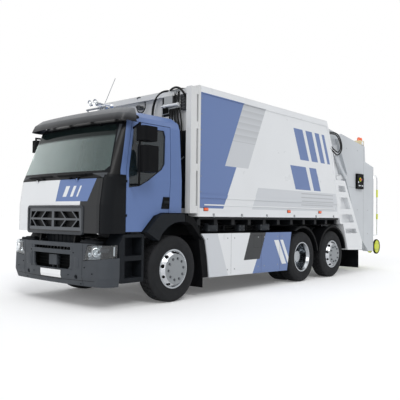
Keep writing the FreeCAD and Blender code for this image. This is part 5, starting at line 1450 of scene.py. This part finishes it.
# Tailgate: control box, lamp boxes, hinge hoses, lifter discs, rail marks, rear lamps, bolts and seams
tailGiven = {
    "boxLow": (-6.793, 1.195, 2.067),
    "boxTop": (-6.447, 1.259, 2.443),
    "button": (-6.60, 2.300, 0.050),
    "buttonRing": [(1, 0), (1, 0.010), (0.86, 0.014), (0.80, 0.010), (0, 0.010)],
    "buttonCap": [(0.62, 0.008), (0.62, 0.024), (0.5, 0.032), (0, 0.034)],
    "key": [(0.020, 0), (0.020, 0.006), (0.014, 0.008), (0.013, 0.016), (0.0005, 0.018)],
    "keys": [(-6.715, 2.150), (-6.640, 2.150), (-6.565, 2.150), (-6.490, 2.150), (-6.490, 2.230)],
    "handleX": -6.755,
    "handle": [(0, 2.36), (0.020, 2.37), (0.020, 2.22), (0, 2.21)],
    "lampLow": (-6.985, 0.86, 3.150),
    "lampTop": (-6.765, 1.180, 3.310),
    "flashers": (0.055, 0.165),
    "flasher": [(0.042, 0), (0.042, 0.020), (0.038, 0.060), (0.028, 0.082), (0.0005, 0.090)],
    "workLens": [(0.050, -0.004), (0.050, 0.006), (0.040, 0.010), (0.0005, 0.008)],
    "loopY": 1.256,
    "loops": [
        [(-5.115, 3.307), (-5.330, 3.330), (-5.560, 3.173), (-5.625, 2.943), (-5.413, 2.784), (-5.216, 2.835),
         (-5.120, 2.960)],
        [(-5.100, 3.270), (-5.260, 3.290), (-5.455, 3.180), (-5.560, 3.010), (-5.450, 2.860), (-5.260, 2.880),
         (-5.110, 3.020)],
    ],
    "discCentre": (-7.800, 0.600),
    "discY": 1.138,
    "disc": [(0.0005, 0.000), (0.060, 0.000), (0.070, 0.006), (0.140, 0.006), (0.150, 0.000), (0.165, 0.000),
             (0.172, 0.010), (0.172, 0.026), (0.160, 0.032), (0.0005, 0.032)],
    "discRim": [(0.168, -0.006), (0.188, -0.006), (0.192, 0.002), (0.192, 0.030), (0.186, 0.038), (0.168, 0.038),
                (0.168, -0.006)],
    "pin": (-7.70, 0.62),
    "rail": (-7.812, 1.165, 0.0225),
    "railMarks": [(1.90, 2.10), (1.32, 1.46)],
    "plateLow": (-7.539, 1.076, 1.494),
    "plateTop": (-7.502, 1.144, 1.806),
    "lampsAt": (-7.538, 1.110),
    "lamps": [(1.555, 2), (1.650, 1), (1.745, 3)],  # height and finish of each
    "lens": [(0.029, 0), (0.029, 0.004), (0.024, 0.009), (0.0005, 0.011)],
    "boltColumns": (-5.35, -5.95, -6.55, -7.15),
    "boltRows": (3.02, 2.30, 1.55, 0.95),
    "seams": [[(-6.90, 3.12), (-6.90, 0.62)], [(-7.44, 2.60), (-7.44, 0.70)], [(-5.75, 2.10), (-6.90, 2.10)]],
}


def makeTailgateDetails(given):
    bm = bmesh.new()
    panelledBox(bm, given["boxLow"], given["boxTop"], 1, 0.018, 0.002, 0.004)
    x, z, radius = given["button"]
    face = given["boxTop"][1] - 0.003
    addLathe(bm, scaled(given["buttonRing"], radius), (ahead(x), face, z), 32, (0, 1, 0), material=1)
    addLathe(bm, scaled(given["buttonCap"], radius), (ahead(x), face, z), 32, (0, 1, 0), material=2)
    for index, (x, z) in enumerate(given["keys"]):
        addLathe(bm, given["key"], (ahead(x), face, z), 20, (0, 1, 0), material=3 if index % 2 else 4)
    addTube(bm, [(ahead(given["handleX"]), face + y, z) for y, z in given["handle"]], 0.006, 8)
    newPiece("controlBox", bm, [blackPlastic, limePaint, redLens, zincSteel, whiteLens], "tailgate")

    for sideName, side in sides:
        bm = bmesh.new()
        low, top = given["lampLow"], given["lampTop"]
        addBlock(bm, low, top, 0.012, side=side)
        for shift in given["flashers"]:
            foot = (ahead(low[0] + shift), side * (top[1] - 0.075), top[2] - 0.004)
            addLathe(bm, given["flasher"], foot, 28, (0, 0, 1), (1, 0, 0), material=1)
        foot = (ahead(low[0] + 0.11), side * top[1], low[2] + 0.085)
        addLathe(bm, given["workLens"], foot, 28, (0, side, 0), material=2)
        addBlock(bm, (low[0] + 0.05, 1.165, 3.05), (low[0] + 0.17, 1.19, 3.20), 0.004, 3, side)
        newPiece(f"lampBox{sideName}", bm, [lampBeige, amberLens, whiteLens, zincSteel], "tailgate")

        bm = bmesh.new()
        for index, loop in enumerate(given["loops"]):
            y = given["loopY"] + 0.004 * index
            line = [Vector((ahead(x), side * y, z)) for x, z in loop]
            line[0].y = line[-1].y = side * 1.20  # both ends go into the body's side
            addTube(bm, line, 0.014, 10)
        newPiece(f"hingeHoses{sideName}", bm, sealRubber, "chassis")

        bm = bmesh.new()
        x, z = given["discCentre"]
        centre = Vector((ahead(x), side * given["discY"], z))
        addLathe(bm, given["disc"], centre, 48, (0, side, 0))
        addLathe(bm, given["discRim"], centre, 48, (0, side, 0), material=1)
        for angle in around(4, 45):
            addBolt(bm, centre + Vector((0, side * 0.032, 0)) + radial(angle) * 0.11, (0, side, 0), 0.010, 2)
        x, z = given["pin"]
        addRod(bm, (ahead(x), side * 1.02, z), (ahead(x), side * 1.145, z), 0.022, 20, material=1)
        newPiece(f"lifterDisc{sideName}", bm, [limePaint, blackPlastic, zincSteel], "lifter")

        bm = bmesh.new()
        for z0, z1 in given["railMarks"]:
            x, y, radius = given["rail"]
            addRod(bm, (ahead(x), side * y, z0), (ahead(x), side * y, z1), radius, 24)
        newPiece(f"railMarks{sideName}", bm, limePaint, "tailgate")

        bm = bmesh.new()
        addBlock(bm, given["plateLow"], given["plateTop"], 0.005, side=side)
        for z, slot in given["lamps"]:
            x, y = given["lampsAt"]
            addLathe(bm, given["lens"], (ahead(x), side * y, z), 28, (-1, 0, 0), material=slot)
        lampPiece = newPiece(f"rearLamp{sideName}", bm, [blackPlastic, redLens, amberLens, whiteLens], "tailgate")
        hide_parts("rear_lamps")

        bm = bmesh.new()
        for x in given["boltColumns"]:
            for z in given["boltRows"]:
                place = fromSide("tailgate_sides", ahead(x), z, side)[0]
                if place and abs(place.y) < 1.21:
                    addBolt(bm, place, (0, side, 0), 0.008)
        newPiece(f"tailgateBolts{sideName}", bm, zincSteel, "tailgate")
        bm = bmesh.new()
        for points in given["seams"]:
            addSeam(bm, "tailgate_sides", [(ahead(x), side * 3, z) for x, z in points], (0, -side, 0), 0.0025)
        newPiece(f"tailgateSeams{sideName}", bm, castIron, "tailgate")


lampBeige = makePaint("lampBeige", (203, 190, 152), 0.06)
makeTailgateDetails(tailGiven)
print("tailgate details made")


# Chassis side: lines, clips and valve boxes between the skirts and the body
chassisGiven = {
    "lines": [(0.935, 1.235, 0.014), (0.960, 1.185, 0.010), (0.925, 1.150, 0.018), (0.975, 1.105, 0.009)],
    "start": -0.70,
    "end": -3.05,
    "clips": 7,
    "clip": [(0.895, 1.085), (0.99, 1.262)],
    "boxInner": 0.90,
    "boxOuter": 1.045,
    "boxes": [(-1.02, -1.30, 1.085, 1.230), (-1.92, -2.10, 1.080, 1.200), (-2.60, -2.92, 1.085, 1.215)],
}


def makeChassisSide(given):
    for sideName, side in sides:
        bm = bmesh.new()
        start, end = ahead(given["start"]), ahead(given["end"])
        for y, z, radius in given["lines"]:
            line = []
            for step in range(13):
                share = step / 12
                sag = 0.012 * math.sin(step * 2.3 + z * 40)
                line.append((start + (end - start) * share, side * (y + 0.4 * sag), z + sag))
            addTube(bm, line, radius, 8)
        newPiece(f"chassisLines{sideName}", bm, sealRubber, "chassis")
        bm = bmesh.new()
        for index in range(given["clips"]):
            x = start + (end - start) * (index + 0.5) / given["clips"]
            (y0, z0), (y1, z1) = given["clip"]
            addBox(bm, (x - 0.012, side * y0, z0), (x + 0.012, side * y1, z1), 0.004)
        newPiece(f"lineClips{sideName}", bm, chassisPaint, "chassis")
        bm = bmesh.new()
        for x0, x1, z0, z1 in given["boxes"]:
            addBlock(bm, (x1, given["boxInner"], z0), (x0, given["boxOuter"], z1), 0.010, side=side)
            for x in (x0 - 0.03, x1 + 0.03):
                for z in (z0 + 0.025, z1 - 0.025):
                    addBolt(bm, (ahead(x), side * given["boxOuter"], z), (0, side, 0), 0.006, 1)
        newPiece(f"valveBoxes{sideName}", bm, [trimPlastic, zincSteel], "chassis")


makeChassisSide(chassisGiven)
print("chassis side made")


# Wheel dishes: a polished cone with hand holes, each a ring round a dark disc of painted shade, and a grey face
dishGiven = {
    "cone": [(0.292, 1.186), (0.288, 1.203), (0.280, 1.209), (0.243, 1.262), (0.238, 1.2675)],
    "face": [(0.2385, 1.2670), (0.234, 1.2705), (0.150, 1.2710), (0.0005, 1.2710)],
    "holes": 10,
    "phase": 12,
    "holeAt": (0.2625, 1.2342),
    "holeRadius": 0.0235,
    "driveCircle": 0.222,
    "driveRadius": 0.027,
}


def makeWheelDishes(given):
    foot, top = Vector(given["cone"][2]), Vector(given["cone"][3])
    slope = (top - foot).normalized()
    radius, y = given["holeAt"]
    size = given["holeRadius"]
    ring = [(size * 1.10, -0.004), (size * 1.08, 0.0016), (size * 0.98, 0.0012), (size * 0.94, -0.001)]
    # the inside of each hand hole is a flat pitch-black disc, painted shade standing for the hole
    inside = [(size * 0.97, 0.0008), (0.0005, 0.0008)]
    for name, x in (("front", frontX), ("tag", tagX)):
        for sideName, side in sides:
            bm = bmesh.new()
            addLathe(bm, given["cone"], (x, 0, wheelZ), 96, (0, side, 0))
            addLathe(bm, given["face"], (x, 0, wheelZ), 96, (0, side, 0), material=1)
            for angle in around(given["holes"], given["phase"]):
                place = Vector((x, side * y, wheelZ)) + radial(angle) * radius
                normal = radial(angle) * slope.y + Vector((0, -side * slope.x, 0))
                addLathe(bm, ring, place, 24, normal, normal.orthogonal())
                addLathe(bm, inside, place, 24, normal, normal.orthogonal(), material=2)
            body = bodyOfNode[f"{name}_rim_{sideName.lower()}"]
            newPiece(f"{name}Dish{sideName}", bm, [dishMetal, dishGrey, pitchPlastic], body, 0.45)
    for sideName, side in sides:
        rim = f"drive_rims_{sideName.lower()}"
        # each drive hand hole is a flat pitch-black disc on the rim's face, painted shade standing for the hole
        hole = [(given["driveRadius"], -0.002), (given["driveRadius"], 0.001), (0.0005, 0.0005)]
        hub = Vector((driveX, 0, wheelZ))
        bm = bmesh.new()
        for angle in around(given["holes"], given["phase"]):
            beside = hub + radial(angle + math.pi / given["holes"]) * given["driveCircle"]
            centre = hub + radial(angle) * given["driveCircle"]
            centre.y = fromSide(rim, beside.x, beside.z, side)[0].y + side * 0.001
            addLathe(bm, hole, centre, 24, (0, side, 0))
        newPiece(f"driveHandHoles{sideName}", bm, pitchPlastic, bodyOfNode[rim])


dishMetal = makeMetal("dishMetal", (196, 199, 203), 0.14)
dishGrey = makePaint("dishGrey", (139, 143, 146), 0.04, 0.45, 0.0, 0.3)
makeWheelDishes(dishGiven)
print("wheel dishes made")


# Seats: padded cushions, backs and head rests on rigid bases
seatGiven = {
    "places": [("driver", 0.52, 0.255), ("middle", -0.235, 0.235), ("outer", -0.725, 0.235)],
    "cushion": [(0.006, 1.712), (0.472, 1.726), (0.488, 1.762), (0.460, 1.816), (0.010, 1.788)],
    "back": [(-0.012, 1.800), (-0.040, 2.372), (-0.098, 2.366), (-0.082, 1.780)],
    "head": [(-0.034, 2.396), (-0.038, 2.548), (-0.094, 2.546), (-0.094, 2.396)],
    "headHalf": 0.118,
    "side": 0.012,
    "bevel": 0.018,
    "voxel": 0.012,
    "pressure": 4.0,
    "frames": 20,
    "cap": 0.009,
    "base": (0.045, 0.415, 1.640, 1.722),
    "floorZ": 1.46,
    "stays": (-0.066, 2.34, 2.42),
    "channels": {"cushion": [0.15, 0.29], "back": [1.98, 2.18], "head": []},
    "channelDepth": 0.005,
    "channelHalf": 0.012,
}


def bakeModifiers(piece):
    graph = bpy.context.evaluated_depsgraph_get()
    mesh = bpy.data.meshes.new_from_object(piece.evaluated_get(graph))
    piece.modifiers.clear()
    piece.data = mesh


def inflate(piece, given):  # cloth under pressure, each point held within the cap
    remesh = piece.modifiers.new("remesh", "REMESH")
    remesh.mode = "VOXEL"
    remesh.voxel_size = given["voxel"]
    bakeModifiers(piece)
    rest = [v.co.copy() for v in piece.data.vertices]
    cloth = piece.modifiers.new("cloth", "CLOTH")
    cloth.settings.use_pressure = True
    cloth.settings.uniform_pressure_force = given["pressure"]
    cloth.settings.effector_weights.gravity = 0
    for number in range(1, given["frames"] + 1):
        scene.frame_set(number)
    bakeModifiers(piece)
    scene.frame_set(1)
    for vert, start in zip(piece.data.vertices, rest):
        move = vert.co - start
        if move.length > given["cap"]:
            vert.co = start + move * (given["cap"] / move.length)


def sewChannels(piece, given, kind):
    axis = 2 if kind == "back" else 0
    for vert in piece.data.vertices:
        for value in given["channels"][kind]:
            line = value if axis == 2 else ahead(value)
            gap = abs(vert.co[axis] - line)
            if gap < given["channelHalf"]:
                vert.co -= vert.normal * given["channelDepth"] * (1 - gap / given["channelHalf"])


def makeSeats(given):
    for name, y, half in given["places"]:
        for kind in ("cushion", "back", "head"):
            reach = given["headHalf"] if kind == "head" else half - given["side"]
            bm = bmesh.new()
            corners = [(ahead(x), y - reach, z) for x, z in given[kind]]
            addPlate(bm, corners, (0, 1, 0), 2 * reach, given["bevel"])
            piece = newPiece(f"{name}Seat{kind.capitalize()}", bm, seatCloth, "cab")
            inflate(piece, given)
            sewChannels(piece, given, kind)
            smooth = piece.modifiers.new("smooth", "SUBSURF")
            smooth.levels = smooth.render_levels = 1
            piece.data.materials.clear()
            piece.data.materials.append(seatCloth)
            piece.data.shade_smooth()
            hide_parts("seats")
        bm = bmesh.new()
        x0, x1, z0, z1 = given["base"]
        addBlock(bm, (x0, y - half + 0.07, z0), (x1, y + half - 0.07, z1), 0.012)
        addBlock(bm, (x0 + 0.04, y - half + 0.11, given["floorZ"]), (x1 - 0.06, y + half - 0.11, z0 + 0.02), 0.010)
        x, z0, z1 = given["stays"]
        for shift in (-0.06, 0.06):
            addRod(bm, (ahead(x), y + shift, z0), (ahead(x), y + shift, z1), 0.007, 12)
        base = newPiece(f"{name}SeatBase", bm, darkPlastic, "cab")
        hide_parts("seats")


makeSeats(seatGiven)
print("seats made")


# Behind the windscreen: a camera housing and a mirror
screenGiven = {
    "housing": ((1.000, -0.300, 2.470), (1.050, -0.160, 2.560)),
    "mirror": ((1.010, -0.345, 2.345), (1.030, -0.115, 2.440)),
}


def makeScreenGear(given):
    bm = bmesh.new()
    for low, high in given.values():
        addBlock(bm, low, high, 0.008)
    addTube(bm, [(ahead(1.02), -0.23, 2.42), (ahead(1.03), -0.23, 2.50), (ahead(1.02), -0.23, 2.64)], 0.008, 10)
    newPiece("screenGear", bm, blackPlastic, "cab")


makeScreenGear(screenGiven)
print("screen gear made")


# Floor and light
def makeStage():
    bm = bmesh.new()
    bmesh.ops.create_circle(bm, cap_ends=True, segments=96, radius=150)
    mesh = bpy.data.meshes.new("studioFloor")
    bm.to_mesh(mesh)
    bm.free()
    floor = bpy.data.objects.new("studioFloor", mesh)
    scene.collection.objects.link(floor)
    material = newMaterial("floorPaint", (250, 250, 250), 0.9)
    setColour(material, vary(material, (247, 247, 247), 0.004, 0.5))
    setRoughness(material, spread(material, noise(material, 2.0), 0.85, 0.95))
    shader = shaderOf(material)
    shader.inputs["Emission Color"].default_value = (1, 1, 1, 1)
    path = addNode(material, "ShaderNodeLightPath")
    seen = calculate(material, "MAXIMUM", path.outputs["Is Camera Ray"], path.outputs["Is Glossy Ray"])
    put(material, shader.inputs["Emission Strength"], multiply(material, seen, 0.10))
    mesh.materials.append(material)


def makeSun(name, place, strength, angle):
    data = bpy.data.lights.new(name, "SUN")
    data.energy = strength
    data.angle = math.radians(angle)
    lamp = bpy.data.objects.new(name, data)
    scene.collection.objects.link(lamp)
    place = Vector(place)
    lamp.matrix_world = Matrix.Translation(place) @ (-place).to_track_quat("-Z", "Y").to_matrix().to_4x4()


def makeWorld():
    world = bpy.data.worlds.new("studio")
    scene.world = world
    world.use_nodes = True
    tree = world.node_tree
    background = tree.nodes["Background"]
    background.inputs["Color"].default_value = (0.86, 0.88, 0.91, 1)
    background.inputs["Strength"].default_value = 0.5
    white = tree.nodes.new("ShaderNodeBackground")
    white.inputs["Color"].default_value = (1, 1, 1, 1)
    white.inputs["Strength"].default_value = 1.0
    path = tree.nodes.new("ShaderNodeLightPath")
    seen = path.outputs["Is Camera Ray"]
    for ray in ("Is Glossy Ray", "Is Transmission Ray"):
        either = tree.nodes.new("ShaderNodeMath")
        either.operation = "MAXIMUM"
        tree.links.new(seen, either.inputs[0])
        tree.links.new(path.outputs[ray], either.inputs[1])
        seen = either.outputs[0]
    mix = tree.nodes.new("ShaderNodeMixShader")
    tree.links.new(seen, mix.inputs[0])
    tree.links.new(background.outputs[0], mix.inputs[1])
    tree.links.new(white.outputs[0], mix.inputs[2])
    tree.links.new(mix.outputs[0], tree.nodes["World Output"].inputs["Surface"])


studioGiven = {  # each sun's place, strength and angle
    "keyLight": ((5, 9, 9), 1.0, 20),
    "frontLight": ((10, 2, 4), 0.75, 30),
    "topLight": ((0, 0, 12), 0.8, 60),
}
makeStage()
makeWorld()
for name, (place, strength, angle) in studioGiven.items():
    makeSun(name, place, strength, angle)
print("studio lit")
